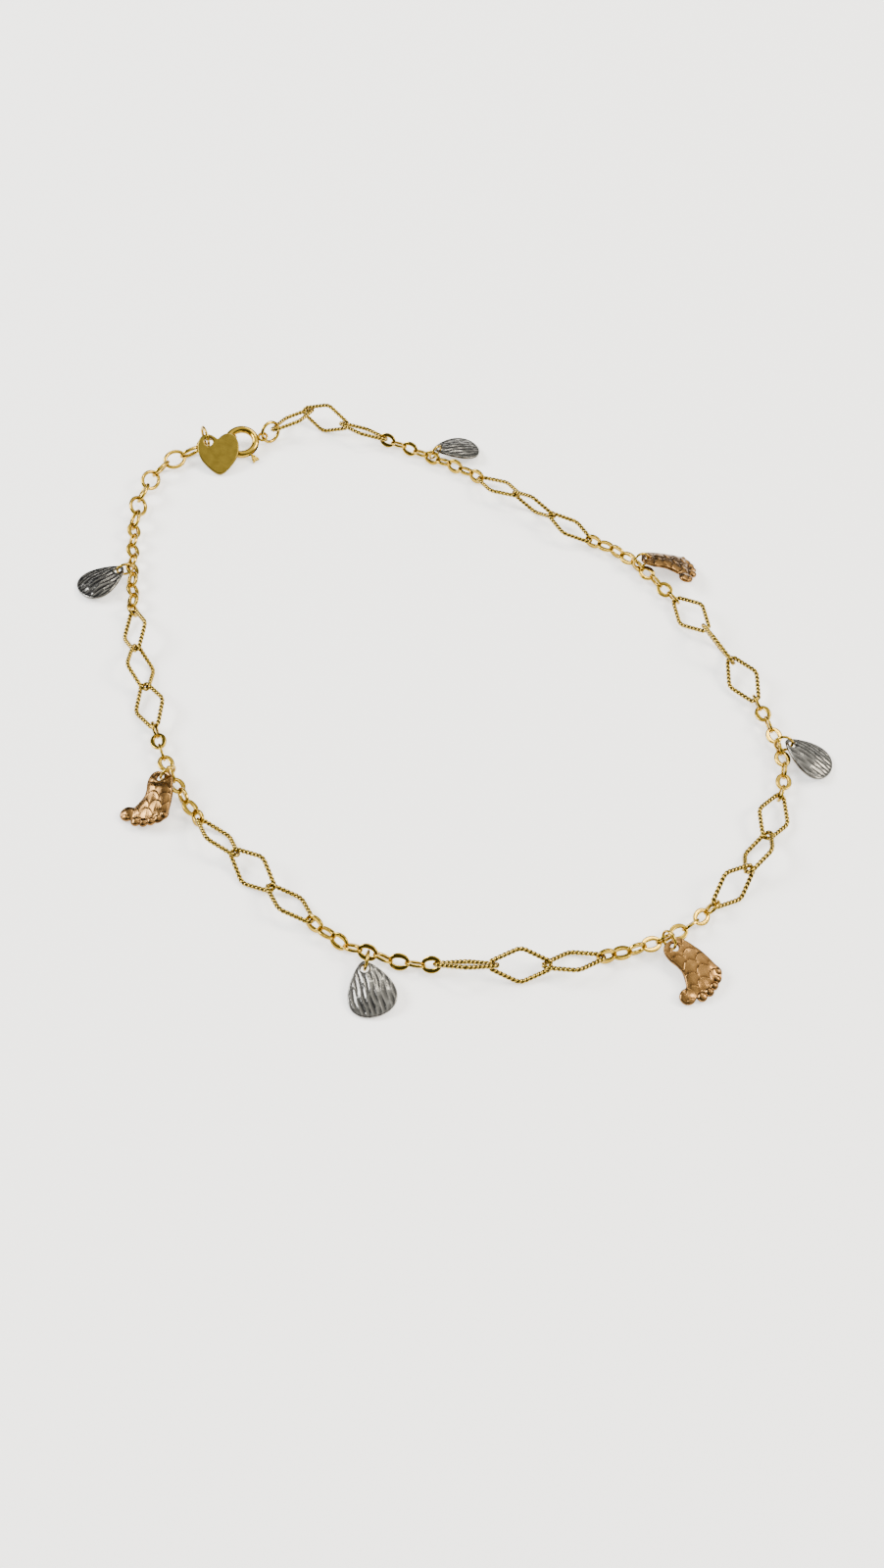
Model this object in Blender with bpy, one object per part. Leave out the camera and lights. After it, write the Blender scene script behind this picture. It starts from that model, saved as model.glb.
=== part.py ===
"""Charm anklet: a gold chain of long and short links with seven charms, lying in a loop.

Sizes are in millimetres and become metres when a mesh is made. +Z is up and the surface that the
anklet lies on is z = 0. The chain is followed clockwise, seen from above, from the clasp's eyelet
round to the clasp's tube, so that a link's left side points out of the loop.
"""
import math

import bmesh
import bpy
import numpy as np
from mathutils import Matrix

MM = 0.001

# Links
LOZENGE_LENGTH = 6.35        # outside, end to end
LOZENGE_WIDTH = 3.5          # outside, across the side corners
LOZENGE_WIRE = 0.34
LOZENGE_END_RADIUS = 0.55    # bends of the wire's middle line
LOZENGE_SIDE_RADIUS = 0.8
OVAL_LENGTH = 2.12
OVAL_WIDTH = 1.75
OVAL_THICKNESS = 0.30        # across the flat of the link
OVAL_END_BAND = 0.30
OVAL_SIDE_BAND = 0.45
EXTENDER_LENGTH = 2.9
EXTENDER_WIDTH = 2.2
EXTENDER_WIRE = 0.32
JUMP_DIAMETER = 2.8
JUMP_WIRE = 0.34
LINK_GAP = 0.14              # between links that hang in each other
LINK_WELD = 0.06             # how far the links of one fused run press into each other
WIRE_SIDES = 5
OVALS_IN_RUN = 9
EXTENDER_LINKS = 9
LOWEST_JOINT = 0.42          # least height of the point where two links meet

# Spring ring clasp, with its angles in degrees round the ring from the right
CLASP_RADIUS = 1.75          # middle line of the tube
CLASP_TUBE = 0.45            # outer radius of the tube
CLASP_BORE = 0.32
CLASP_BOLT = 0.20
CLASP_TILT = 18.0            # the far side is raised
CLASP_LOOP_ANGLE = 20.0
CLASP_LOOP_RADIUS = 0.50     # middle line of the eyelet
CLASP_LOOP_WIRE = 0.28
CLASP_LOOP_SINK = 0.12       # how deep the eyelet is soldered into the tube
CLASP_HOOK_ANGLE = 174.0     # where the last link lies round the tube
CLASP_MOUTH_START = 196.0
CLASP_MOUTH_END = 238.0
CLASP_BOLT_ENTRY = 3.5       # how far the bolt's tip enters the far end of the tube
CLASP_LEVER_ANGLE = 310.0
CLASP_TRAVEL = 45.0
CLASP_BOLT_TAIL = 8.0
CLASP_LEVER_WIDTH = 0.28
CLASP_LEVER_REACH = 3.35
CLASP_LEVER_FAN = 0.9
CLASP_SLOT_GAP = 0.10
CLASP_LINK_GAP = 0.22        # between the tube and the last link

# Charms
CHARM_RING_DIAMETER = 2.1
CHARM_RING_WIRE = 0.25
CHARM_RING_LEAN = 10.0       # how far a ring leans along the chain, degrees
CHARM_RING_TURN = 0.35       # how far a ring turns from across the chain towards its charm
CHARM_RING_DROP = 6.0        # how far below level the charm hangs from its ring, degrees
CHARM_EDGE = 0.32            # thickness at the rim
CHARM_HOLE = 0.85
CHARM_HOLE_INSET = 0.80      # from the narrow end to the middle of the hole
DROP_LENGTH = 5.8
DROP_WIDTH = 4.8
DROP_THICKNESS = 0.95
FOOT_LENGTH = 6.7
FOOT_WIDTH = 5.0
FOOT_THICKNESS = 0.85
HEART_WIDTH = 5.0
HEART_HEIGHT = 5.2
HEART_THICKNESS = 0.45
HEART_HOLE = 1.08
HEART_RING_DIAMETER = 2.7
HEART_RING_WIRE = 0.28
HEART_HEADING = -72.0        # the way the ring reaches out to the heart, seen from above
HEART_RING_DROP = -5.0
HEART_CLEARANCE = 0.03       # between the heart's tip and the surface

# The few chosen points of the chain's way round, from the eyelet to the tube, and the clasp
ROUTE = [
    (-22.9, 35.2), (-19.8, 38.6), (-15.0, 36.7), (-9.9, 35.4), (-4.2, 32.8), (2.0, 29.8),
    (10.6, 23.6), (15.5, 20.3), (20.0, 18.0), (25.6, 11.9), (31.2, 3.3), (34.1, -2.1),
    (36.7, -10.0), (36.5, -15.1), (32.9, -24.9), (29.5, -29.1), (25.0, -33.5), (18.7, -36.5),
    (8.4, -38.9), (-4.2, -38.7), (-10.8, -35.4), (-19.7, -28.0), (-24.0, -23.8), (-28.0, -17.8),
    (-30.5, -11.8), (-34.2, -1.2), (-36.6, 10.5), (-37.6, 18.0), (-37.4, 22.8), (-36.1, 27.0),
    (-33.7, 29.6), (-31.0, 31.6),
]
CLASP_CENTRE = (-26.95, 32.7)

# The groups of long links: how each of the three is turned about the chain, in degrees from lying
# flat, where a positive turn raises the outer side, and how much each lies short of taut
LOZENGE_GROUPS = [
    # first, second, third, slack
    (-28.0, 62.0, -30.0, 0.36),
    (-15.0, -72.0, -13.0, 0.18),
    (30.0, -60.0, 25.0, 0.18),
    (-14.0, 44.0, -45.0, 0.28),
    (28.0, -37.0, 50.0, 0.24),
    (26.0, -34.0, 38.0, 0.12),
    (-24.0, 36.0, -40.0, 0.08),
]
JUMP_ROLL = 75.0
LAST_ROLL = -65.0

# The charms, one on the middle link of each run: which way each points, seen from above, how it
# is turned about its own length, and the way its ring leans
CHARMS = [
    # kind, heading, turn, lean
    ("drop", 20.0, -10.0, 1.0),
    ("foot", -6.0, -16.0, -1.0),
    ("drop", -31.0, -10.0, -1.0),
    ("foot", -50.0, 4.0, -1.0),
    ("drop", -71.0, 8.0, -1.0),
    ("foot", -100.0, 14.0, -1.0),
    ("drop", -138.0, 8.0, -1.0),
]

# The foot's outline: along the foot, and its inner and outer edge, as shares of its length and
# width, and its toes with their radius as a share of its width
FOOT_SECTIONS = [
    # along, inner, outer
    (0.000, -0.09, 0.10),
    (0.045, -0.20, 0.21),
    (0.130, -0.25, 0.28),
    (0.250, -0.25, 0.34),
    (0.360, -0.21, 0.39),
    (0.470, -0.20, 0.42),
    (0.580, -0.25, 0.44),
    (0.700, -0.32, 0.45),
    (0.800, -0.32, 0.41),
    (0.880, -0.24, 0.28),
]
FOOT_TOES = [
    # along, across, radius
    (0.810, -0.43, 0.165),
    (0.925, -0.19, 0.105),
    (0.930, -0.01, 0.095),
    (0.895, 0.14, 0.092),
    (0.835, 0.27, 0.090),
    (0.760, 0.38, 0.085),
]

UP = np.array([0.0, 0.0, 1.0])


def unit(vector):
    """The vector at length one."""
    vector = np.asarray(vector, float)
    return vector / np.linalg.norm(vector)


def frame(origin, x_axis, y_axis):
    """A 4x4 frame in millimetres from its origin, its x axis and a direction near its y axis."""
    x_axis = unit(x_axis)
    z_axis = unit(np.cross(x_axis, y_axis))
    matrix = np.eye(4)
    matrix[:3, 0] = x_axis
    matrix[:3, 1] = np.cross(z_axis, x_axis)
    matrix[:3, 2] = z_axis
    matrix[:3, 3] = origin
    return matrix


def placed(matrix, points):
    """Points of a frame, in the world."""
    return np.asarray(points) @ matrix[:3, :3].T + matrix[:3, 3]


def degrees_round(angle, radius, height=0.0):
    """The point at an angle round a circle, in degrees."""
    angle = math.radians(angle)
    return np.array([radius * math.cos(angle), radius * math.sin(angle), height])


def gold(name, colour, roughness):
    """A polished metal."""
    material = bpy.data.materials.new(name)
    material.use_nodes = True
    shader = material.node_tree.nodes["Principled BSDF"]
    shader.inputs["Base Color"].default_value = (*colour, 1.0)
    shader.inputs["Metallic"].default_value = 1.0
    shader.inputs["Roughness"].default_value = roughness
    return material


def make_mesh(name, verts, faces, material):
    """A closed mesh in metres with its faces pointing out."""
    mesh = bpy.data.meshes.new(name)
    mesh.from_pydata((np.asarray(verts) * MM).tolist(), [], faces)
    shape = bmesh.new()
    shape.from_mesh(mesh)
    bmesh.ops.recalc_face_normals(shape, faces=shape.faces)
    shape.to_mesh(mesh)
    shape.free()
    mesh.materials.append(material)
    return mesh


def make_object(name, mesh, matrix):
    """An object of a mesh, placed by a frame in millimetres."""
    item = bpy.data.objects.new(name, mesh)
    bpy.context.collection.objects.link(item)
    place = matrix.copy()
    place[:3, 3] *= MM
    item.matrix_world = Matrix(place.tolist())
    return item


def shade(item, angle=40.0):
    """Smooth shading, sharp at edges over an angle."""
    item.data.shade_smooth()
    item.data.set_sharp_from_angle(angle=math.radians(angle))


def apply_booleans(item, others, operation):
    """Unite others with an object, or cut them from it, and delete them."""
    bpy.context.view_layer.update()
    for other in others:
        cut = item.modifiers.new(operation.lower(), "BOOLEAN")
        cut.operation = operation
        cut.solver = "EXACT"
        cut.object = other
    bpy.context.view_layer.update()
    seen = item.evaluated_get(bpy.context.evaluated_depsgraph_get())
    mesh = bpy.data.meshes.new_from_object(seen)
    item.modifiers.clear()
    item.data = mesh
    for other in others:
        bpy.data.objects.remove(other, do_unlink=True)
    return item


def closed_sweep(path, outward, section):
    """A section carried round a closed flat path: its points and their outward normals, and the
    section's corners as (in the plane, across it), which may differ along the path."""
    count = len(path)
    section = np.broadcast_to(section, (count, *np.shape(section)[-2:]))
    sides = section.shape[1]
    verts = np.zeros((count, sides, 3))
    verts[:, :, :2] = path[:, None] + outward[:, None] * section[:, :, :1]
    verts[:, :, 2] = section[:, :, 1]
    faces = []
    for i in range(count):
        for k in range(sides):
            near, far = i * sides, (i + 1) % count * sides
            faces.append((near + k, near + (k + 1) % sides, far + (k + 1) % sides, far + k))
    return verts.reshape(-1, 3), faces


def arc_sweep(radius, start, end, stations, section):
    """A solid of a section (radial, height) carried along an arc from start to end, in degrees."""
    sides = len(section)
    verts = []
    for angle in np.linspace(start, end, stations):
        for radial, height in section:
            verts.append(degrees_round(angle, radius + radial, height))
    faces = []
    for i in range(stations - 1):
        for k in range(sides):
            near, far = i * sides, (i + 1) * sides
            faces.append((near + k, near + (k + 1) % sides, far + (k + 1) % sides, far + k))
    faces.append(tuple(range(sides)))
    faces.append(tuple(range((stations - 1) * sides, stations * sides)))
    return np.array(verts), faces


def round_section(radius, sides):
    """The corners of a round section, as (outward, across)."""
    turn = 2 * math.pi * (np.arange(sides) + 0.5) / sides
    return [(radius * math.cos(a), radius * math.sin(a)) for a in turn]


def rounded_rhombus(length, width, end_radius, side_radius):
    """The middle line of a long link: a rhombus with its corners rounded, and its normals."""
    slope = math.atan(width / length)
    for _ in range(20):
        half_long = length / 2 + end_radius * (1 / math.sin(slope) - 1)
        half_wide = width / 2 + side_radius * (1 / math.cos(slope) - 1)
        slope = math.atan(half_wide / half_long)
    normal = math.pi / 2 - slope
    length += 2 * end_radius * (1 - math.cos(normal / 3))
    end_turn = np.linspace(-normal, normal, 4)
    side_turn = np.linspace(normal, math.pi - normal, 3)
    path, outward = [], []
    for half_turn in (0, 1):
        sign = 1 - 2 * half_turn
        for angles, centre, radius in (
            (end_turn, (length / 2 - end_radius, 0.0), end_radius),
            (side_turn, (0.0, width / 2 - side_radius), side_radius),
        ):
            direction = np.stack([np.cos(angles), np.sin(angles)], -1)
            path.append(sign * (np.array(centre) + radius * direction))
            outward.append(sign * direction)
    return np.concatenate(path), np.concatenate(outward)


def ellipse(length, width, angles):
    """The middle line of an oval link and its normals."""
    angles = np.radians(angles)
    path = np.stack([length / 2 * np.cos(angles), width / 2 * np.sin(angles)], -1)
    outward = np.stack([width * np.cos(angles), length * np.sin(angles)], -1)
    return path, outward / np.linalg.norm(outward, axis=1)[:, None]


def lozenge_shape():
    path, outward = rounded_rhombus(LOZENGE_LENGTH - LOZENGE_WIRE, LOZENGE_WIDTH - LOZENGE_WIRE,
                                    LOZENGE_END_RADIUS, LOZENGE_SIDE_RADIUS)
    return closed_sweep(path, outward, round_section(LOZENGE_WIRE / 2, WIRE_SIDES))


def oval_shape():
    """A short link: a flat band, wider along the sides than round the ends."""
    half = np.array([15.0, 48.0, 90.0, 132.0, 165.0])
    angles = np.concatenate([half, half + 180.0])
    path, outward = ellipse((OVAL_LENGTH - OVAL_END_BAND) / math.cos(math.radians(half[0])),
                            OVAL_WIDTH - OVAL_SIDE_BAND, angles)
    spread = np.sin(np.radians(angles)) ** 2
    band = OVAL_END_BAND + (OVAL_SIDE_BAND - OVAL_END_BAND) * spread
    corners = np.array([(0.5, 0.5), (-0.5, 0.5), (-0.5, -0.5), (0.5, -0.5)])
    sizes = np.stack([band, np.full(len(band), OVAL_THICKNESS)], -1)
    return closed_sweep(path, outward, corners * sizes[:, None])


def extender_shape():
    angles = np.arange(18.0, 360.0, 36.0)
    path, outward = ellipse((EXTENDER_LENGTH - EXTENDER_WIRE) / math.cos(math.radians(angles[0])),
                            EXTENDER_WIDTH - EXTENDER_WIRE, angles)
    return closed_sweep(path, outward, round_section(EXTENDER_WIRE / 2, WIRE_SIDES))


def ring_shape(diameter, wire):
    path, outward = ellipse(diameter - wire, diameter - wire, np.arange(0.0, 360.0, 30.0))
    return closed_sweep(path, outward, round_section(wire / 2, WIRE_SIDES))


def smooth_route(points, per_span=30):
    """A smooth curve through points, finely divided (Catmull and Rom's form)."""
    points = np.asarray(points, float)
    points = np.vstack([2 * points[0] - points[1], points, 2 * points[-1] - points[-2]])
    share = np.linspace(0, 1, per_span, endpoint=False)[:, None]
    curve = []
    for before, start, end, after in zip(points, points[1:], points[2:], points[3:]):
        curve.append(start + 0.5 * share * ((end - before)
                     + share * ((2 * before - 5 * start + 4 * end - after)
                                + share * (3 * (start - end) + after - before))))
    return np.vstack([*curve, points[-2:-1]])


def along(curve):
    """The distance along a curve at each of its points."""
    steps = np.linalg.norm(np.diff(curve, axis=0), axis=1)
    return np.concatenate([[0.0], np.cumsum(steps)])


def clasp_frame(scale):
    """The clasp's frame: its near side lies on the surface and its far side is raised."""
    tilt = math.radians(CLASP_TILT)
    height = CLASP_RADIUS * math.sin(tilt) + CLASP_TUBE
    centre = (CLASP_CENTRE[0] * scale, CLASP_CENTRE[1] * scale, height)
    return frame(centre, (1, 0, 0), (0, math.cos(tilt), math.sin(tilt)))


def loop_centre_radius():
    return (CLASP_RADIUS + CLASP_TUBE + CLASP_LOOP_WIRE / 2 + CLASP_LOOP_RADIUS
            - CLASP_LOOP_SINK)


def hook(first, second):
    """The distance between the middle lines of two wires that hang in each other."""
    if first["run"] is not None and first["run"] == second["run"]:
        return (first["wire"] + second["wire"]) / 2 - LINK_WELD
    return (first["wire"] + second["wire"]) / 2 + LINK_GAP


def chain_links():
    """Every link from the eyelet to the tube: its kind, shape, fused run, turn and slack."""
    lozenge = {"kind": "lozenge", "shape": lozenge_shape(), "length": LOZENGE_LENGTH,
               "wire": LOZENGE_WIRE}
    oval = {"kind": "oval", "shape": oval_shape(), "length": OVAL_LENGTH, "wire": OVAL_END_BAND,
            "side_size": (OVAL_SIDE_BAND, OVAL_THICKNESS)}
    extender = {"kind": "extender", "shape": extender_shape(), "length": EXTENDER_LENGTH,
                "wire": EXTENDER_WIRE, "side_size": (EXTENDER_WIRE, EXTENDER_WIRE)}
    jump = {"kind": "jump", "shape": ring_shape(JUMP_DIAMETER, JUMP_WIRE),
            "length": JUMP_DIAMETER, "wire": JUMP_WIRE}
    links = [dict(jump, run=None, roll=JUMP_ROLL, slack=0.0)]
    for group, (*rolls, slack) in enumerate(LOZENGE_GROUPS):
        for roll in rolls:
            links.append(dict(lozenge, run=None, roll=roll, slack=slack))
        short = [dict(oval, run=group, slack=0.0) for _ in range(OVALS_IN_RUN)]
        last = group == len(LOZENGE_GROUPS) - 1
        if last:
            short += [dict(extender, run="extender", slack=0.0) for _ in range(EXTENDER_LINKS)]
            target, turns = LAST_ROLL, len(short)
        else:
            target, turns = LOZENGE_GROUPS[group + 1][0], len(short) + 1
        # Neighbours stand across each other, and the links share the rest of the twist evenly
        twist = (target - rolls[-1] - 90 * turns + 90) % 180 - 90
        for i, link in enumerate(short, start=1):
            link["roll"] = rolls[-1] + i * (90 + twist / turns)
        links += short
    return links


def route_joints(links):
    """The points where the links meet, seen from above, on a route as long as the chain, how far
    apart the wires lie there, and the clasp's frame. The first joint is the middle of the eyelet
    and the last is on the tube's middle line."""
    hooks = [0.0]
    hooks += [hook(a, b) for a, b in zip(links, links[1:])]
    hooks.append(2 * (CLASP_TUBE + links[-1]["wire"] / 2 + CLASP_LINK_GAP))
    straight = hooks[-1]
    for _ in range(4):
        advance = [link["length"] - link["wire"] - link["slack"] - (near + far) / 2
                   for link, near, far in zip(links, hooks, hooks[1:])]
        low, high = 0.3, 3.0
        for _ in range(30):
            scale = (low + high) / 2
            clasp = clasp_frame(scale)
            start = placed(clasp, degrees_round(CLASP_LOOP_ANGLE, loop_centre_radius()))
            end = placed(clasp, degrees_round(CLASP_HOOK_ANGLE, CLASP_RADIUS))
            curve = smooth_route([start[:2], *(np.array(ROUTE) * scale), end[:2]])
            if along(curve)[-1] > sum(advance):
                high = scale
            else:
                low = scale
        way = along(curve)
        stops = np.concatenate([[0.0], np.cumsum(advance)])
        joints = np.stack([np.interp(stops, way, curve[:, axis]) for axis in (0, 1)], -1)
        # The last link lies further out where it crosses the tube at a slant
        step = joints[-1] - joints[-2]
        heading = math.atan2(step[1], step[0])
        hooks[-1] = straight / abs(math.cos(heading - math.radians(CLASP_HOOK_ANGLE)))
    return joints, hooks, start[2], end[2], clasp


def lowest(verts, roll):
    """How far a link reaches below its own middle when it is turned about the chain."""
    roll = math.radians(roll)
    return -(verts[:, 1] * math.sin(roll) + verts[:, 2] * math.cos(roll)).min()


def settle(links, start_height, end_height):
    """The heights of the joints, raised until no link reaches below the surface."""
    heights = np.full(len(links) + 1, LOWEST_JOINT)
    heights[0], heights[-1] = start_height, end_height
    need = [max(lowest(link["shape"][0], link["roll"]), link.get("need", 0.0)) for link in links]
    for _ in range(200):
        for i, least in enumerate(need):
            short = least - (heights[i] + heights[i + 1]) / 2
            if short > 0:
                heights[i] += short / 2 * (i > 0)
                heights[i + 1] += short / 2 * (i < len(links) - 1)
    return heights


def link_frames(links):
    """The frame of each link: x along the chain, y across the link, z out of its flat. A link that
    holds a charm is raised until the charm's ring clears the surface."""
    joints, hooks, start_height, end_height, clasp = route_joints(links)
    for _ in range(3):
        heights = settle(links, start_height, end_height)
        points = np.column_stack([joints, heights])
        # Where the chain bends, the wires face each other along the flatter of the two links
        axes = [unit(step) for step in np.diff(points, axis=0)]
        flatness = [abs(math.cos(math.radians(link["roll"]))) + 0.01 for link in links]
        facing = [axes[0]]
        for i in range(1, len(links)):
            facing.append(unit(axes[i - 1] * flatness[i - 1] + axes[i] * flatness[i]))
        facing.append(axes[-1])
        for i, link in enumerate(links):
            near = points[i] - facing[i] * hooks[i] / 2
            far = points[i + 1] + facing[i + 1] * hooks[i + 1] / 2
            axis = unit(far - near)
            side = unit(np.cross(UP, axis))
            over = np.cross(axis, side)
            roll = math.radians(link["roll"])
            across = side * math.cos(roll) + over * math.sin(roll)
            link["frame"] = frame((near + far) / 2, axis, across)
            link["outward"] = side
        for number, charm in enumerate(CHARMS):
            link = middle_link(links, number)
            ring, _ = charm_ring(link, charm)
            low = placed(ring, ring_shape(CHARM_RING_DIAMETER, CHARM_RING_WIRE)[0])[:, 2].min()
            middle = link["frame"][2, 3]
            link["need"] = max(link.get("need", 0.0), middle - low + 0.01 if low < 0 else 0.0)
    return clasp


def hanging_ring(link, heading, lean, drop, diameter, wire):
    """The frame of a ring round a link's side wire, and the point of it that a charm hangs from.
    The ring lies round the link's outer side, or its upper one if the link stands."""
    along_link, across, flat = link["frame"][:3, :3].T
    side = np.sign(across[2]) if abs(across[2]) > 0.9 else np.sign(across @ link["outward"])
    away = degrees_round(heading, 1.0)
    # The ring's plane is upright and across the chain, turned a part of the way to the charm
    level = unit(along_link * (1, 1, 0))
    facing = np.cross(UP, away)
    facing *= np.sign(facing @ level)
    facing = unit(level * (1 - CHARM_RING_TURN) + facing * CHARM_RING_TURN)
    out = np.cross(facing, UP)
    out *= np.sign(out @ away)
    rise = UP * math.cos(math.radians(lean)) + facing * math.sin(math.radians(lean))
    normal = np.cross(out, rise)
    # The side wire's corners where the ring's plane cuts it, and the way the ring lies off them
    band, thickness = link["side_size"]
    corners = []
    for wide, thick in ((1, 1), (1, -1), (-1, -1), (-1, 1)):
        corner = across * wide * band / 2 + flat * thick * thickness / 2
        corners.append(corner - along_link * (normal @ corner) / (normal @ along_link))
    off = unit(np.cross(normal, np.cross(normal, flat)))
    off *= np.sign(off @ (out + UP / 2))
    radius = (diameter - wire) / 2
    reach = radius - wire / 2 - LINK_GAP
    low, high = 0.0, radius
    for _ in range(30):
        shift = (low + high) / 2
        if max(np.linalg.norm(corner - off * shift) for corner in corners) < reach:
            low = shift
        else:
            high = shift
    middle = np.abs(link["shape"][0][:, 1]).max() - band / 2
    centre = placed(link["frame"], np.array([0.0, side * middle, 0.0])) + off * shift
    drop = math.radians(drop)
    hold = out * math.cos(drop) - rise * math.sin(drop)
    return frame(centre, hold, np.cross(normal, hold)), centre + radius * hold


def charm_ring(link, charm):
    """A charm's ring on a link, and the point that the charm hangs from."""
    _, heading, _, lean = charm
    return hanging_ring(link, heading, lean * CHARM_RING_LEAN, CHARM_RING_DROP,
                        CHARM_RING_DIAMETER, CHARM_RING_WIRE)


def drop_outline(count):
    """A pear outline from its narrow end: the width follows a circle narrowed towards the end."""
    turn = 2 * math.pi * np.arange(count) / count
    share = (1 - np.cos(turn)) / 2
    spread = np.sin(turn) * (0.35 + 0.65 * share ** 0.8)
    spread /= np.abs(spread).max()
    return np.stack([DROP_LENGTH * share, DROP_WIDTH / 2 * spread], -1)


def drop_mesh(material):
    """A pear puffed on both sides: rings that shrink towards a point on its axis."""
    outline = drop_outline(20)
    centre = np.array([0.58 * DROP_LENGTH, 0.0])
    edge, crown = CHARM_EDGE / 2, DROP_THICKNESS / 2
    levels = [(1.0, edge), (0.76, edge + 0.12 * (crown - edge)), (0.42, edge + 0.75 * (crown - edge))]
    verts, faces = [], []
    count = len(outline)
    for sign in (1, -1):
        base = len(verts)
        for scale, height in levels:
            ring = centre + (outline - centre) * scale
            verts += [(x, y, sign * height) for x, y in ring]
        verts.append((centre[0], centre[1], sign * crown))
        for level in range(len(levels) - 1):
            for i in range(count):
                near, far = base + level * count, base + (level + 1) * count
                faces.append((near + i, near + (i + 1) % count, far + (i + 1) % count, far + i))
        top = base + (len(levels) - 1) * count
        faces += [(top + i, top + (i + 1) % count, len(verts) - 1) for i in range(count)]
    half = len(verts) // 2
    faces += [(i, (i + 1) % count, half + (i + 1) % count, half + i) for i in range(count)]
    return make_mesh("drop", verts, faces, material)


def foot_mesh(material):
    """The sole, lofted through sections along the foot."""
    edge, crown = CHARM_EDGE / 2, FOOT_THICKNESS / 2
    verts, faces = [], []
    for place, inner, outer in FOOT_SECTIONS:
        rise = math.sqrt(max(0.0, 1 - (2 * place - 1) ** 2)) * (crown - edge)
        rise *= min(1.0, place / 0.3)
        for share, height in ((0, edge), (0.3, edge + rise), (0.7, edge + rise), (1, edge),
                              (1, -edge), (0.7, -edge - rise), (0.3, -edge - rise), (0, -edge)):
            across = (inner + (outer - inner) * share) * FOOT_WIDTH
            verts.append((place * FOOT_LENGTH, across, height))
    for i in range(len(FOOT_SECTIONS) - 1):
        for k in range(8):
            near, far = i * 8, (i + 1) * 8
            faces.append((near + k, near + (k + 1) % 8, far + (k + 1) % 8, far + k))
    faces.append(tuple(range(8)))
    faces.append(tuple(range(len(verts) - 8, len(verts))))
    return make_mesh("foot", verts, faces, material)


def toe_mesh(place, across, radius, material):
    """A toe: a low round pad, thickest in the middle."""
    turn = 2 * math.pi * np.arange(10) / 10 + 0.1
    radius *= FOOT_WIDTH
    x, y = place * FOOT_LENGTH, across * FOOT_WIDTH
    edge, crown = CHARM_EDGE / 2 * 0.9, FOOT_THICKNESS / 2 * 0.86
    verts = []
    for sign in (1, -1):
        verts += [(x + radius * math.cos(a), y + radius * math.sin(a), sign * edge) for a in turn]
        verts.append((x, y, sign * crown))
    faces = []
    for i in range(10):
        j = (i + 1) % 10
        faces += [(i, j, 10), (11 + i, 11 + j, 21), (i, j, 11 + j, 11 + i)]
    return make_mesh("toe", verts, faces, material)


def hole_cutter(place, diameter, depth, matrix, material):
    """A round drill through a plate."""
    turn = 2 * math.pi * (np.arange(10) + 0.5) / 10
    verts = [(place[0] + diameter / 2 * math.cos(a), place[1] + diameter / 2 * math.sin(a), z)
             for z in (-depth, depth) for a in turn]
    faces = [(i, (i + 1) % 10, 10 + (i + 1) % 10, 10 + i) for i in range(10)]
    faces += [tuple(range(10)), tuple(range(10, 20))]
    return make_object("drill", make_mesh("drill", verts, faces, material), matrix)


def charm_frame(verts, hold, heading, turn):
    """The frame of a charm whose hole is at the point that holds it, and which leans down until
    it touches the surface."""
    heading, turn = math.radians(heading), math.radians(turn)
    away = np.array([math.cos(heading), math.sin(heading), 0.0])
    side = np.cross(UP, away)
    hole = np.array([CHARM_HOLE_INSET, 0.0, 0.0])
    low, high = -0.2, 1.2
    for _ in range(40):
        slope = (low + high) / 2
        x_axis = away * math.cos(slope) - UP * math.sin(slope)
        over = np.cross(x_axis, side)
        y_axis = side * math.cos(turn) + over * math.sin(turn)
        matrix = frame((0, 0, 0), x_axis, y_axis)
        matrix[:3, 3] = hold - matrix[:3, :3] @ hole
        if placed(matrix, verts)[:, 2].min() > 0:
            low = slope
        else:
            high = slope
    return matrix


def heart_outline(count):
    """A heart from its tip: the width is a power of a sine, the height a sum of cosines."""
    turn = 2 * math.pi * np.arange(count) / count + math.pi
    wide = np.sign(np.sin(turn)) * np.abs(np.sin(turn)) ** 1.9
    tall = (13 * np.cos(turn) - 5 * np.cos(2 * turn) - 2 * np.cos(3 * turn) - np.cos(4 * turn))
    tall = (tall - tall.min()) / (tall.max() - tall.min())
    return np.stack([-HEART_WIDTH / 2 * wide, HEART_HEIGHT * tall], -1)


def heart_mesh(material):
    """A flat plate with a narrow chamfer round both faces."""
    outline = heart_outline(26)
    chamfer, half = 0.07, HEART_THICKNESS / 2
    centre = np.array([0.0, 0.55 * HEART_HEIGHT])
    inner = centre + (outline - centre) * (1 - 2 * chamfer / HEART_WIDTH)
    count = len(outline)
    verts = []
    for ring, height in ((inner, half), (outline, half - chamfer), (outline, chamfer - half),
                         (inner, -half)):
        verts += [(x, y, height) for x, y in ring]
    faces = [tuple(range(count)), tuple(range(3 * count, 4 * count))]
    for level in range(3):
        for i in range(count):
            near, far = level * count, (level + 1) * count
            faces.append((near + i, near + (i + 1) % count, far + (i + 1) % count, far + i))
    return make_mesh("heart", verts, faces, material)


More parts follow.
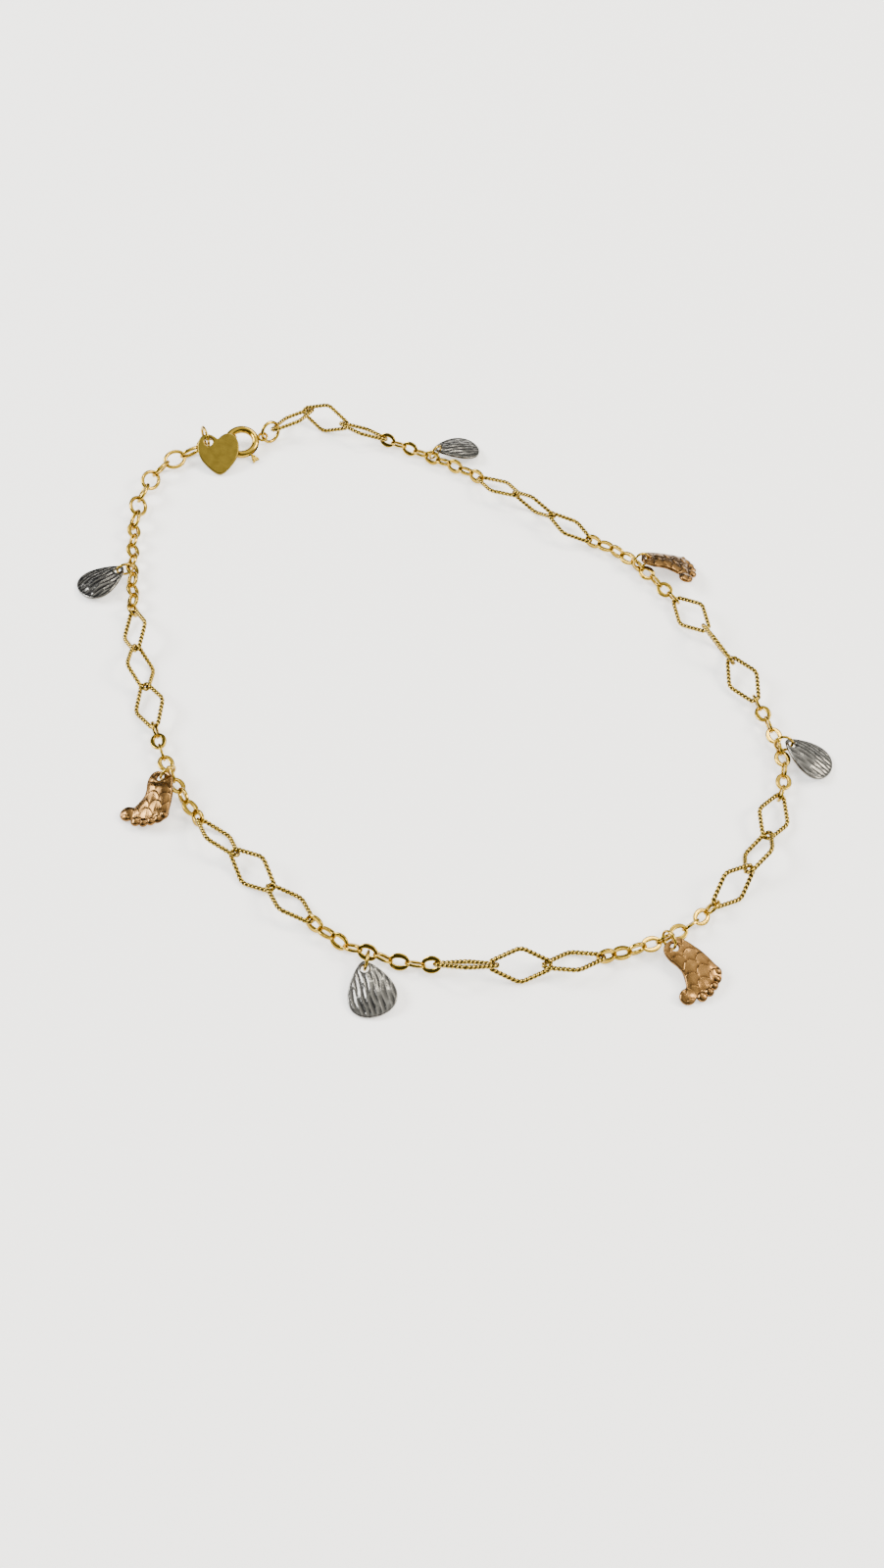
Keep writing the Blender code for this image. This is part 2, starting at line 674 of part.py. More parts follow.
def make_clasp(matrix, material):
    """The spring ring: a bent tube with its mouth, the slot of its lever and its eyelet."""
    tube = make_object("clasp_ring", make_mesh("clasp_ring", *arc_sweep(
        CLASP_RADIUS, CLASP_MOUTH_END, CLASP_MOUTH_START + 360, 22,
        round_section(CLASP_TUBE, 8)), material), matrix)
    path, outward = ellipse(2 * CLASP_RADIUS, 2 * CLASP_RADIUS, np.arange(24) * 15.0)
    bore = make_object("bore", make_mesh("bore", *closed_sweep(
        path, outward, round_section(CLASP_BORE, 7)), material), matrix)
    slack = math.degrees(CLASP_SLOT_GAP / CLASP_RADIUS)
    half_lever = math.degrees(CLASP_LEVER_WIDTH / 2 / CLASP_RADIUS)
    height = CLASP_LEVER_WIDTH / 2 + CLASP_SLOT_GAP
    reach = CLASP_TUBE + 0.2
    slot = make_object("slot", make_mesh("slot", *arc_sweep(
        CLASP_RADIUS, CLASP_LEVER_ANGLE - half_lever - slack,
        CLASP_LEVER_ANGLE + CLASP_TRAVEL + half_lever + slack, 6,
        [(0.0, -height), (reach, -height), (reach, height), (0.0, height)]), material), matrix)
    apply_booleans(tube, [bore, slot], "DIFFERENCE")
    path, outward = ellipse(2 * CLASP_LOOP_RADIUS, 2 * CLASP_LOOP_RADIUS, np.arange(10) * 36.0)
    verts, faces = closed_sweep(path, outward, round_section(CLASP_LOOP_WIRE / 2, 6))
    verts = verts + degrees_round(CLASP_LOOP_ANGLE, loop_centre_radius())
    loop = make_object("loop", make_mesh("loop", verts, faces, material), matrix)
    return apply_booleans(tube, [loop], "UNION")


def make_bolt(matrix, material):
    """The curved bolt and its thumb lever, which fans out beyond the tube."""
    rod = make_object("clasp_bolt", make_mesh("clasp_bolt", *arc_sweep(
        CLASP_RADIUS, CLASP_MOUTH_START - CLASP_BOLT_ENTRY, CLASP_LEVER_ANGLE + CLASP_BOLT_TAIL,
        12, round_section(CLASP_BOLT, 6)), material), matrix)
    half, fan = CLASP_LEVER_WIDTH / 2, CLASP_LEVER_FAN / 2
    clear = CLASP_RADIUS + CLASP_TUBE + CLASP_SLOT_GAP
    tip = CLASP_LEVER_REACH
    outline = [(CLASP_RADIUS, -half), (clear, -half), (tip - 0.25, -fan), (tip, -0.6 * fan),
               (tip, 0.6 * fan), (tip - 0.25, fan), (clear, half), (CLASP_RADIUS, half)]
    turn = math.radians(CLASP_LEVER_ANGLE)
    count = len(outline)
    verts = [(x * math.cos(turn) - y * math.sin(turn), x * math.sin(turn) + y * math.cos(turn), z)
             for z in (-half, half) for x, y in outline]
    faces = [(i, (i + 1) % count, count + (i + 1) % count, count + i) for i in range(count)]
    faces += [tuple(range(count)), tuple(range(count, 2 * count))]
    lever = make_object("lever", make_mesh("lever", verts, faces, material), matrix)
    return apply_booleans(rod, [lever], "UNION")


def make_chain(links, material):
    """Each long link and the jump ring by itself, and each run of short links as one body."""
    meshes = {}
    for link in links:
        if link["kind"] not in meshes:
            meshes[link["kind"]] = make_mesh(link["kind"], *link["shape"], material)
    number = 0
    runs = {}
    for link in links:
        mesh = meshes[link["kind"]]
        if link["kind"] == "jump":
            shade(make_object("clasp_jump_ring", mesh, link["frame"]), 75)
        elif link["kind"] == "lozenge":
            number += 1
            shade(make_object(f"lozenge_link_{number:02d}", mesh, link["frame"]), 75)
        else:
            run = link["run"]
            name = "extender_chain" if run == "extender" else f"oval_run_{run + 1}"
            piece = make_object(name, mesh.copy(), link["frame"])
            runs.setdefault(name, []).append(piece)
    for name, pieces in runs.items():
        body = apply_booleans(pieces[0], pieces[1:], "UNION")
        body.name = name
        shade(body, 75)


def charm_plate(kind, material):
    """A charm lying in its own frame, with its toes and its hole."""
    level = np.eye(4)
    if kind == "drop":
        plate = make_object("plate", drop_mesh(material), level)
    else:
        plate = make_object("plate", foot_mesh(material), level)
        toes = [make_object("toe", toe_mesh(*toe, material), level) for toe in FOOT_TOES]
        apply_booleans(plate, toes, "UNION")
    drill = hole_cutter((CHARM_HOLE_INSET, 0.0), CHARM_HOLE, 2.0, level, material)
    apply_booleans(plate, [drill], "DIFFERENCE")
    mesh = plate.data
    bpy.data.objects.remove(plate, do_unlink=True)
    return mesh


def make_charms(links, metals):
    """The charm and the ring on the middle link of each run."""
    plates = {"drop": charm_plate("drop", metals["white_gold"]),
              "foot": charm_plate("foot", metals["rose_gold"])}
    ring = make_mesh("charm_ring", *ring_shape(CHARM_RING_DIAMETER, CHARM_RING_WIRE),
                     metals["yellow_gold"])
    for number, charm in enumerate(CHARMS, start=1):
        kind, heading, turn, _ = charm
        place, hold = charm_ring(middle_link(links, number - 1), charm)
        shade(make_object(f"charm_ring_{number}", ring, place), 75)
        verts = np.array([v.co for v in plates[kind].vertices]) / MM
        matrix = charm_frame(verts, hold, heading, turn)
        shade(make_object(f"{kind}_charm_{number}", plates[kind], matrix), 35)


def middle_link(links, run):
    """The middle link of a run."""
    members = [link for link in links if link["run"] == run]
    return members[len(members) // 2]


def make_heart(links, material):
    """The heart tag, which lies over the chain with its tip down, and its ring."""
    link = [link for link in links if link["run"] == "extender"][-2]
    place, hold = hanging_ring(link, HEART_HEADING, 0.0, HEART_RING_DROP, HEART_RING_DIAMETER,
                               HEART_RING_WIRE)
    mesh = make_mesh("heart_ring", *ring_shape(HEART_RING_DIAMETER, HEART_RING_WIRE), material)
    shade(make_object("heart_ring", mesh, place), 75)
    hole = np.array([-0.23 * HEART_WIDTH, 0.82 * HEART_HEIGHT, 0.0])
    plate = heart_mesh(material)
    verts = np.array([v.co for v in plate.vertices]) / MM
    right = unit((math.cos(math.radians(10)), math.sin(math.radians(10)), 0.0))
    back = np.cross(UP, right)
    low, high = 0.0, 1.4
    for _ in range(40):
        slope = (low + high) / 2
        matrix = frame((0, 0, 0), right, back * math.cos(slope) + UP * math.sin(slope))
        matrix[:3, 3] = hold - matrix[:3, :3] @ hole
        if placed(matrix, verts)[:, 2].min() > HEART_CLEARANCE:
            low = slope
        else:
            high = slope
    heart = make_object("heart_tag", plate, matrix)
    drill = hole_cutter(hole, HEART_HOLE, 2.0, matrix, material)
    apply_booleans(heart, [drill], "DIFFERENCE")
    shade(heart, 35)


def centre_on_origin():
    """Move everything so that the middle of the anklet's footprint is the origin."""
    bpy.context.view_layer.update()
    corners = []
    for item in bpy.data.objects:
        points = np.array([v.co for v in item.data.vertices])
        corners.append(placed(np.array(item.matrix_world), points))
    corners = np.vstack(corners)
    low, high = corners.min(axis=0), corners.max(axis=0)
    shift = [-(low[0] + high[0]) / 2, -(low[1] + high[1]) / 2, -low[2]]
    for item in bpy.data.objects:
        item.matrix_world = Matrix.Translation(shift) @ item.matrix_world
    bpy.context.view_layer.update()
    return shift


def build():
    for item in list(bpy.data.objects):
        bpy.data.objects.remove(item, do_unlink=True)
    metals = {
        "yellow_gold": gold("yellow_gold", (0.80, 0.56, 0.20), 0.18),
        "white_gold": gold("white_gold", (0.62, 0.62, 0.60), 0.25),
        "rose_gold": gold("rose_gold", (0.72, 0.42, 0.29), 0.25),
    }
    links = chain_links()
    clasp = link_frames(links)
    make_chain(links, metals["yellow_gold"])
    shade(make_clasp(clasp, metals["yellow_gold"]), 50)
    shade(make_bolt(clasp, metals["yellow_gold"]), 50)
    make_charms(links, metals)
    make_heart(links, metals["yellow_gold"])
    return centre_on_origin()


SHIFT = build()
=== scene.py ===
# Charm anklet lying in a loop. Sizes in the dictionaries are in millimetres and degrees, but in
# metres for the room and the camera. The shapes are worked out in the chain's own drawing, which
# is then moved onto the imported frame.
import math

import bpy
import numpy as np
from mathutils import Matrix


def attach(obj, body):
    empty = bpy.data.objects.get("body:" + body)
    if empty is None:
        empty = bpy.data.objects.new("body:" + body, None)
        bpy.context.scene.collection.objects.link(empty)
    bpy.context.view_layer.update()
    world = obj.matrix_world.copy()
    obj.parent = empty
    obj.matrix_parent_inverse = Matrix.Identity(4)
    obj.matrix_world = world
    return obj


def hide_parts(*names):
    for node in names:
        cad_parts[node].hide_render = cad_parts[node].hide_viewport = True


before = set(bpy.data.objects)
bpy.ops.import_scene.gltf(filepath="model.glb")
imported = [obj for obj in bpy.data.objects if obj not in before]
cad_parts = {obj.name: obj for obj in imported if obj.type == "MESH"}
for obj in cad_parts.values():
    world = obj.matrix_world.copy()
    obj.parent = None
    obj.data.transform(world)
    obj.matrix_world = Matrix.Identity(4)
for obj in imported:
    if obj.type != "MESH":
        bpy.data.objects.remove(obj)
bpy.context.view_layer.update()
up = np.array([0.0, 0.0, 1.0])

chain = {
    "shift": (0.090879, 2.8931126, 0.0269974),   # from the drawing to the middle of the floor
    "linkGap": 0.14,        # between links that hang in each other
    "linkWeld": 0.06,       # how far the short links of one run press into each other
    "lowestJoint": 0.42,
    "ovalsInRun": 9,
    "extenderLinks": 9,
    "jumpRoll": 75.0,
    "lastRoll": -65.0,
    # how each of three long links is turned about the chain, and how much they lie short of taut
    "groups": [(-28.0, 62.0, -30.0, 0.36), (-15.0, -72.0, -13.0, 0.18), (30.0, -60.0, 25.0, 0.18),
               (-14.0, 44.0, -45.0, 0.28), (28.0, -37.0, 50.0, 0.24), (26.0, -34.0, 38.0, 0.12),
               (-24.0, 36.0, -40.0, 0.08)],
    "route": [(-22.9, 35.2), (-19.8, 38.6), (-15.0, 36.7), (-9.9, 35.4), (-4.2, 32.8),
              (2.0, 29.8), (10.6, 23.6), (15.5, 20.3), (20.0, 18.0), (25.6, 11.9), (31.2, 3.3),
              (34.1, -2.1), (36.7, -10.0), (36.5, -15.1), (32.9, -24.9), (29.5, -29.1),
              (25.0, -33.5), (18.7, -36.5), (8.4, -38.9), (-4.2, -38.7), (-10.8, -35.4),
              (-19.7, -28.0), (-24.0, -23.8), (-28.0, -17.8), (-30.5, -11.8), (-34.2, -1.2),
              (-36.6, 10.5), (-37.6, 18.0), (-37.4, 22.8), (-36.1, 27.0), (-33.7, 29.6),
              (-31.0, 31.6)],
}
lozenge = {"length": 6.35, "width": 3.5, "wire": 0.34, "endRadius": 0.55, "sideRadius": 0.8,
           "dash": 0.45,        # from one strand of the twisted wire to the next
           "stepsPerDash": 9, "sides": 20,
           "arcSteps": (24, 20),        # round an end of the link and round a side
           "across": 0.51,      # over both strands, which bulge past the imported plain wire
           "groove": 0.34, "softSide": 1.3}
oval = {"length": 2.12, "width": 1.75, "thickness": 0.30, "endBand": 0.30, "sideBand": 0.45,
        "rolledEnd": 0.34, "rolledSide": 0.50, "stations": 56, "sides": 20, "squareness": 7.0}
extender = {"length": 2.9, "width": 2.2, "wire": 0.32, "rolled": 0.45, "stations": 56,
            "sides": 16}
rings = {"jump": (2.8, 0.34), "charm": (2.1, 0.25), "heart": (2.7, 0.28),   # diameter and wire
         "rolled": 1.2,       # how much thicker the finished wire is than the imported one
         "stations": 72, "sides": 16}
clasp = {"centre": (-26.95, 32.7), "radius": 1.75, "tube": 0.45, "bore": 0.32, "bolt": 0.20,
         "tilt": 18.0, "loopAngle": 20.0, "loopRadius": 0.50, "loopWire": 0.28, "loopSink": 0.12,
         "hookAngle": 174.0, "mouthStart": 196.0, "mouthEnd": 238.0, "boltEntry": 3.5,
         "leverAngle": 310.0, "travel": 45.0, "boltTail": 8.0, "leverWidth": 0.28,
         "leverReach": 3.35, "leverFan": 0.9, "slotGap": 0.10, "linkGap": 0.22,
         "tubeStations": 150, "tubeSides": 28, "lipSteps": 9, "slotStations": 40,
         "boltStations": 80, "boltSides": 20}
charms = {
    "edge": 0.32, "hole": 0.85, "holeInset": 0.80, "rimRound": 0.11, "step": 0.05,
    "cutEase": 0.25, "cutRaise": 0.02,      # the cuts fade in past the rim, from a raised face
    "ringLean": 10.0, "ringTurn": 0.35, "ringDrop": 6.0,
    # kind, heading, turn about its length, which way its ring leans
    "list": [("drop", 20.0, -10.0, 1.0), ("foot", -6.0, -16.0, -1.0), ("drop", -31.0, -10.0, -1.0),
             ("foot", -50.0, 4.0, -1.0), ("drop", -71.0, 8.0, -1.0), ("foot", -100.0, 14.0, -1.0),
             ("drop", -138.0, 8.0, -1.0)],
}


# Places and lines

def unit(vector):
    vector = np.asarray(vector, float)
    return vector / np.linalg.norm(vector)


def axesFrom(origin, xAxis, yAxis):
    # a frame with its x axis kept and its y axis as near as a right angle allows
    xAxis = unit(xAxis)
    zAxis = unit(np.cross(xAxis, yAxis))
    matrix = np.eye(4)
    matrix[:3, 0], matrix[:3, 1], matrix[:3, 2] = xAxis, np.cross(zAxis, xAxis), zAxis
    matrix[:3, 3] = origin
    return matrix


def placed(matrix, points):
    return np.asarray(points) @ matrix[:3, :3].T + matrix[:3, 3]


def roundRing(angle, radius, height=0.0):
    # the point at an angle in degrees round a circle
    angle = np.radians(angle)
    return np.stack([radius * np.cos(angle), radius * np.sin(angle), height + 0 * angle], -1)


def rhombusLine(length, width, endRadius, sideRadius, endSteps, sideSteps, flatEnds=False):
    # a rhombus with an arc at each corner, found by solving for the slope of its straight sides
    slope = math.atan(width / length)
    for _ in range(20):
        halfLong = length / 2 + endRadius * (1 / math.sin(slope) - 1)
        halfWide = width / 2 + sideRadius * (1 / math.cos(slope) - 1)
        slope = math.atan(halfWide / halfLong)
    normal = math.pi / 2 - slope
    if flatEnds:
        length += 2 * endRadius * (1 - math.cos(normal / 3))
    path, outward = [], []
    for sign in (1, -1):
        for angles, centre, radius in (
                (np.linspace(-normal, normal, endSteps), (length / 2 - endRadius, 0), endRadius),
                (np.linspace(normal, math.pi - normal, sideSteps), (0, width / 2 - sideRadius),
                 sideRadius)):
            direction = np.stack([np.cos(angles), np.sin(angles)], -1)
            path.append(sign * (np.array(centre) + radius * direction))
            outward.append(sign * direction)
    return np.concatenate(path), np.concatenate(outward)


def ellipseLine(length, width, angles):
    # half axes times cosine and sine, with the normal of the ellipse
    angles = np.radians(angles)
    path = np.stack([length / 2 * np.cos(angles), width / 2 * np.sin(angles)], -1)
    outward = np.stack([width * np.cos(angles), length * np.sin(angles)], -1)
    return path, outward / np.linalg.norm(outward, axis=1)[:, None]


def sweepClosed(path, outward, section):
    # each point of the section goes out along the path's normal and up from its plane
    section = np.broadcast_to(section, (len(path), *np.shape(section)[-2:]))
    grid = np.zeros((len(path), section.shape[1], 3))
    grid[:, :, :2] = path[:, None] + outward[:, None] * section[:, :, :1]
    grid[:, :, 2] = section[:, :, 1]
    return grid


def roundSection(radius, sides):
    turn = 2 * math.pi * (np.arange(sides) + 0.5) / sides
    return np.stack([radius * np.cos(turn), radius * np.sin(turn)], -1)


def softSquare(width, height, turn, squareness):
    # a superellipse: the radius is one over the n-th root of |cos|^n + |sin|^n
    reach = (np.abs(np.cos(turn)) ** squareness + np.abs(np.sin(turn)) ** squareness)
    reach = reach ** (-1 / squareness)
    return np.stack([width / 2 * reach * np.cos(turn), height / 2 * reach * np.sin(turn)], -1)


def smoothRoute(points, perSpan=30):
    # a curve through the points: each span is a cubic with its slope taken from its neighbours
    points = np.asarray(points, float)
    points = np.vstack([2 * points[0] - points[1], points, 2 * points[-1] - points[-2]])
    share = np.linspace(0, 1, perSpan, endpoint=False)[:, None]
    curve = []
    for before, start, end, after in zip(points, points[1:], points[2:], points[3:]):
        curve.append(start + 0.5 * share * ((end - before)
                     + share * ((2 * before - 5 * start + 4 * end - after)
                                + share * (3 * (start - end) + after - before))))
    return np.vstack([*curve, points[-2:-1]])


def along(curve):
    steps = np.linalg.norm(np.diff(curve, axis=0), axis=1)
    return np.concatenate([[0.0], np.cumsum(steps)])


# The chain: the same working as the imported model's, so each new link lies on its own solid

def plainLinks():
    # every link from the clasp's eyelet round to its tube, with the few-sided shape that settles
    path, outward = rhombusLine(lozenge["length"] - lozenge["wire"],
                                lozenge["width"] - lozenge["wire"], lozenge["endRadius"],
                                lozenge["sideRadius"], 4, 3, flatEnds=True)
    longLink = {"kind": "lozenge", "length": lozenge["length"], "wire": lozenge["wire"],
                "shape": sweepClosed(path, outward, roundSection(lozenge["wire"] / 2, 5))}
    half = np.array([15.0, 48.0, 90.0, 132.0, 165.0])
    angles = np.concatenate([half, half + 180])
    path, outward = ellipseLine((oval["length"] - oval["endBand"]) / math.cos(math.radians(15)),
                                oval["width"] - oval["sideBand"], angles)
    band = oval["endBand"] + (oval["sideBand"] - oval["endBand"]) * np.sin(np.radians(angles)) ** 2
    corners = np.array([(0.5, 0.5), (-0.5, 0.5), (-0.5, -0.5), (0.5, -0.5)])
    sizes = np.stack([band, np.full(len(band), oval["thickness"])], -1)
    shortLink = {"kind": "oval", "length": oval["length"], "wire": oval["endBand"],
                 "side": (oval["sideBand"], oval["thickness"]),
                 "shape": sweepClosed(path, outward, corners * sizes[:, None])}
    path, outward = ellipseLine(
        (extender["length"] - extender["wire"]) / math.cos(math.radians(18)),
        extender["width"] - extender["wire"], np.arange(18.0, 360.0, 36.0))
    extenderLink = {"kind": "extender", "length": extender["length"], "wire": extender["wire"],
                    "side": (extender["wire"], extender["wire"]),
                    "shape": sweepClosed(path, outward, roundSection(extender["wire"] / 2, 5))}
    diameter, wire = rings["jump"]
    path, outward = ellipseLine(diameter - wire, diameter - wire, np.arange(0.0, 360.0, 30.0))
    links = [{"kind": "jump", "length": diameter, "wire": wire, "run": None, "slack": 0.0,
              "roll": chain["jumpRoll"],
              "shape": sweepClosed(path, outward, roundSection(wire / 2, 5))}]
    groups = chain["groups"]
    for group, (*rolls, slack) in enumerate(groups):
        links += [dict(longLink, run=None, roll=roll, slack=slack) for roll in rolls]
        short = [dict(shortLink, run=group, slack=0.0) for _ in range(chain["ovalsInRun"])]
        if group == len(groups) - 1:
            short += [dict(extenderLink, run="extender", slack=0.0)
                      for _ in range(chain["extenderLinks"])]
            target, turns = chain["lastRoll"], len(short)
        else:
            target, turns = groups[group + 1][0], len(short) + 1
        # neighbours stand across each other and share the rest of the twist evenly
        twist = (target - rolls[-1] - 90 * turns + 90) % 180 - 90
        for i, link in enumerate(short, start=1):
            link["roll"] = rolls[-1] + i * (90 + twist / turns)
        links += short
    return links


def hookLength(first, second):
    # between the middle lines of two wires that hang in each other
    if first["run"] is not None and first["run"] == second["run"]:
        return (first["wire"] + second["wire"]) / 2 - chain["linkWeld"]
    return (first["wire"] + second["wire"]) / 2 + chain["linkGap"]


def loopMiddle():
    return (clasp["radius"] + clasp["tube"] + clasp["loopWire"] / 2 + clasp["loopRadius"]
            - clasp["loopSink"])


def claspPlace(scale):
    # its near side lies on the floor and its far side is raised
    tilt = math.radians(clasp["tilt"])
    height = clasp["radius"] * math.sin(tilt) + clasp["tube"]
    centre = (clasp["centre"][0] * scale, clasp["centre"][1] * scale, height)
    return axesFrom(centre, (1, 0, 0), (0, math.cos(tilt), math.sin(tilt)))


def routeJoints(links):
    # the route is scaled until it is as long as the chain, and the joints go along it
    hooks = [0.0, *[hookLength(a, b) for a, b in zip(links, links[1:])]]
    hooks.append(2 * (clasp["tube"] + links[-1]["wire"] / 2 + clasp["linkGap"]))
    straight = hooks[-1]
    for _ in range(4):
        advance = [link["length"] - link["wire"] - link["slack"] - (near + far) / 2
                   for link, near, far in zip(links, hooks, hooks[1:])]
        low, high = 0.3, 3.0
        for _ in range(30):
            scale = (low + high) / 2
            place = claspPlace(scale)
            start = placed(place, roundRing(clasp["loopAngle"], loopMiddle()))
            end = placed(place, roundRing(clasp["hookAngle"], clasp["radius"]))
            curve = smoothRoute([start[:2], *(np.array(chain["route"]) * scale), end[:2]])
            low, high = (low, scale) if along(curve)[-1] > sum(advance) else (scale, high)
        way = along(curve)
        stops = np.concatenate([[0.0], np.cumsum(advance)])
        joints = np.stack([np.interp(stops, way, curve[:, axis]) for axis in (0, 1)], -1)
        step = joints[-1] - joints[-2]
        heading = math.atan2(step[1], step[0])
        hooks[-1] = straight / abs(math.cos(heading - math.radians(clasp["hookAngle"])))
    return joints, hooks, start[2], end[2], place


def reachBelow(points, roll):
    roll = math.radians(roll)
    return -(points[..., 1] * math.sin(roll) + points[..., 2] * math.cos(roll)).min()


def placeLinks(links):
    # joints are raised until no link reaches below the floor, and a link that holds a charm until
    # the charm's ring clears it too
    joints, hooks, startHeight, endHeight, place = routeJoints(links)
    for _ in range(3):
        heights = np.full(len(links) + 1, chain["lowestJoint"])
        heights[0], heights[-1] = startHeight, endHeight
        need = [max(reachBelow(link["shape"], link["roll"]), link.get("need", 0))
                for link in links]
        for _ in range(200):
            for i, least in enumerate(need):
                short = least - (heights[i] + heights[i + 1]) / 2
                if short > 0:
                    heights[i] += short / 2 * (i > 0)
                    heights[i + 1] += short / 2 * (i < len(links) - 1)
        points = np.column_stack([joints, heights])
        axes = [unit(step) for step in np.diff(points, axis=0)]
        flatness = [abs(math.cos(math.radians(link["roll"]))) + 0.01 for link in links]
        facing = [axes[0]]
        for i in range(1, len(links)):
            facing.append(unit(axes[i - 1] * flatness[i - 1] + axes[i] * flatness[i]))
        facing.append(axes[-1])
        for i, link in enumerate(links):
            near = points[i] - facing[i] * hooks[i] / 2
            far = points[i + 1] + facing[i + 1] * hooks[i + 1] / 2
            axis = unit(far - near)
            side = unit(np.cross(up, axis))
            roll = math.radians(link["roll"])
            across = side * math.cos(roll) + np.cross(axis, side) * math.sin(roll)
            link["place"] = axesFrom((near + far) / 2, axis, across)
            link["outward"] = side
        for number, charm in enumerate(charms["list"]):
            link = middleLink(links, number)
            ring, _ = charmRing(link, charm)
            diameter, wire = rings["charm"]
            path, outward = ellipseLine(diameter - wire, diameter - wire,
                                        np.arange(0.0, 360.0, 30.0))
            low = placed(ring, sweepClosed(path, outward, roundSection(wire / 2, 5)))[..., 2].min()
            middle = link["place"][2, 3]
            link["need"] = max(link.get("need", 0), middle - low + 0.01 if low < 0 else 0)
    return place


def hangingRing(link, heading, lean, fall, diameter, wire):
    # a ring round a link's outer side wire, shifted out as far as the wire's corners let it, and
    # the point of it that a charm hangs from
    alongLink, across, flat = link["place"][:3, :3].T
    side = np.sign(across[2]) if abs(across[2]) > 0.9 else np.sign(across @ link["outward"])
    away = roundRing(heading, 1.0)
    level = unit(alongLink * (1, 1, 0))
    facing = np.cross(up, away)
    facing = facing * np.sign(facing @ level)
    facing = unit(level * (1 - charms["ringTurn"]) + facing * charms["ringTurn"])
    out = np.cross(facing, up)
    out = out * np.sign(out @ away)
    rise = up * math.cos(math.radians(lean)) + facing * math.sin(math.radians(lean))
    normal = np.cross(out, rise)
    band, thickness = link["side"]
    corners = []
    for wide, thick in ((1, 1), (1, -1), (-1, -1), (-1, 1)):
        corner = across * wide * band / 2 + flat * thick * thickness / 2
        corners.append(corner - alongLink * (normal @ corner) / (normal @ alongLink))
    off = unit(np.cross(normal, np.cross(normal, flat)))
    off = off * np.sign(off @ (out + up / 2))
    radius = (diameter - wire) / 2
    reach = radius - wire / 2 - chain["linkGap"]
    low, high = 0.0, radius
    for _ in range(30):
        shift = (low + high) / 2
        if max(np.linalg.norm(corner - off * shift) for corner in corners) < reach:
            low = shift
        else:
            high = shift
    middle = np.abs(link["shape"][..., 1]).max() - band / 2
    centre = placed(link["place"], np.array([0.0, side * middle, 0.0])) + off * shift
    fall = math.radians(fall)
    hold = out * math.cos(fall) - rise * math.sin(fall)
    return axesFrom(centre, hold, np.cross(normal, hold)), centre + radius * hold


def charmRing(link, charm):
    return hangingRing(link, charm[1], charm[3] * charms["ringLean"], charms["ringDrop"],
                       *rings["charm"])


def middleLink(links, run):
    members = [link for link in links if link["run"] == run]
    return members[len(members) // 2]


# Meshes

def gridFaces(rows, columns, first=0, closeRows=True):
    # quads of a grid that closes on itself across its columns, and along its rows if asked
    i = np.arange(rows if closeRows else rows - 1)[:, None]
    k = np.arange(columns)[None]
    near, far, after = i * columns, (i + 1) % rows * columns, (k + 1) % columns
    corners = [near + k, near + after, far + after, far + k]
    return np.stack([np.broadcast_to(c, (len(i), columns)).ravel() for c in corners], -1) + first


def makePiece(name, shells, material, body="anklet", stands=(), sharp=None):
    # closed shells of points and faces become one mesh in metres, each turned to face outwards
    points, loops, sizes, first = [], [], [], 0
    for verts, faceSets in shells:
        verts = np.asarray(verts).reshape(-1, 3)
        volume = 0.0
        for faces in faceSets:
            for k in range(1, faces.shape[1] - 1):
                a, b, c = verts[faces[:, 0]], verts[faces[:, k]], verts[faces[:, k + 1]]
                volume += np.einsum("ij,ij->i", a, np.cross(b, c)).sum()
        for faces in faceSets:
            faces = faces if volume > 0 else faces[:, ::-1]
            loops.append((faces + first).ravel())
            sizes.append(np.full(len(faces), faces.shape[1]))
        points.append(verts)
        first += len(verts)
    points, loops, sizes = np.vstack(points), np.concatenate(loops), np.concatenate(sizes)
    mesh = bpy.data.meshes.new(name)
    mesh.vertices.add(len(points))
    points = (points + chain["shift"]) * 0.001
    if body:
        points[:, 2] = np.maximum(points[:, 2], 0.0)     # rests on the floor, never in it
    mesh.vertices.foreach_set("co", points.astype("f").ravel())
    mesh.loops.add(len(loops))
    mesh.loops.foreach_set("vertex_index", loops.astype("i"))
    mesh.polygons.add(len(sizes))
    mesh.polygons.foreach_set("loop_start", (np.cumsum(sizes) - sizes).astype("i"))
    mesh.update(calc_edges=True)
    mesh.validate()
    mesh.shade_smooth()
    if sharp:
        mesh.set_sharp_from_angle(angle=math.radians(sharp))
    mesh.materials.append(material)
    piece = bpy.data.objects.new(name, mesh)
    bpy.context.collection.objects.link(piece)
    if body:
        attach(piece, body)
    if stands:
        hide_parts(*stands)
    return piece


def ringShell(diameter, wire, place):
    # a round section carried round a circle
    count = rings["stations"]
    path, outward = ellipseLine(diameter - wire, diameter - wire, np.arange(count) * 360 / count)
    section = roundSection(wire / 2 * rings["rolled"], rings["sides"])
    grid = sweepClosed(path, outward, section)
    return placed(place, grid), [gridFaces(count, rings["sides"])]


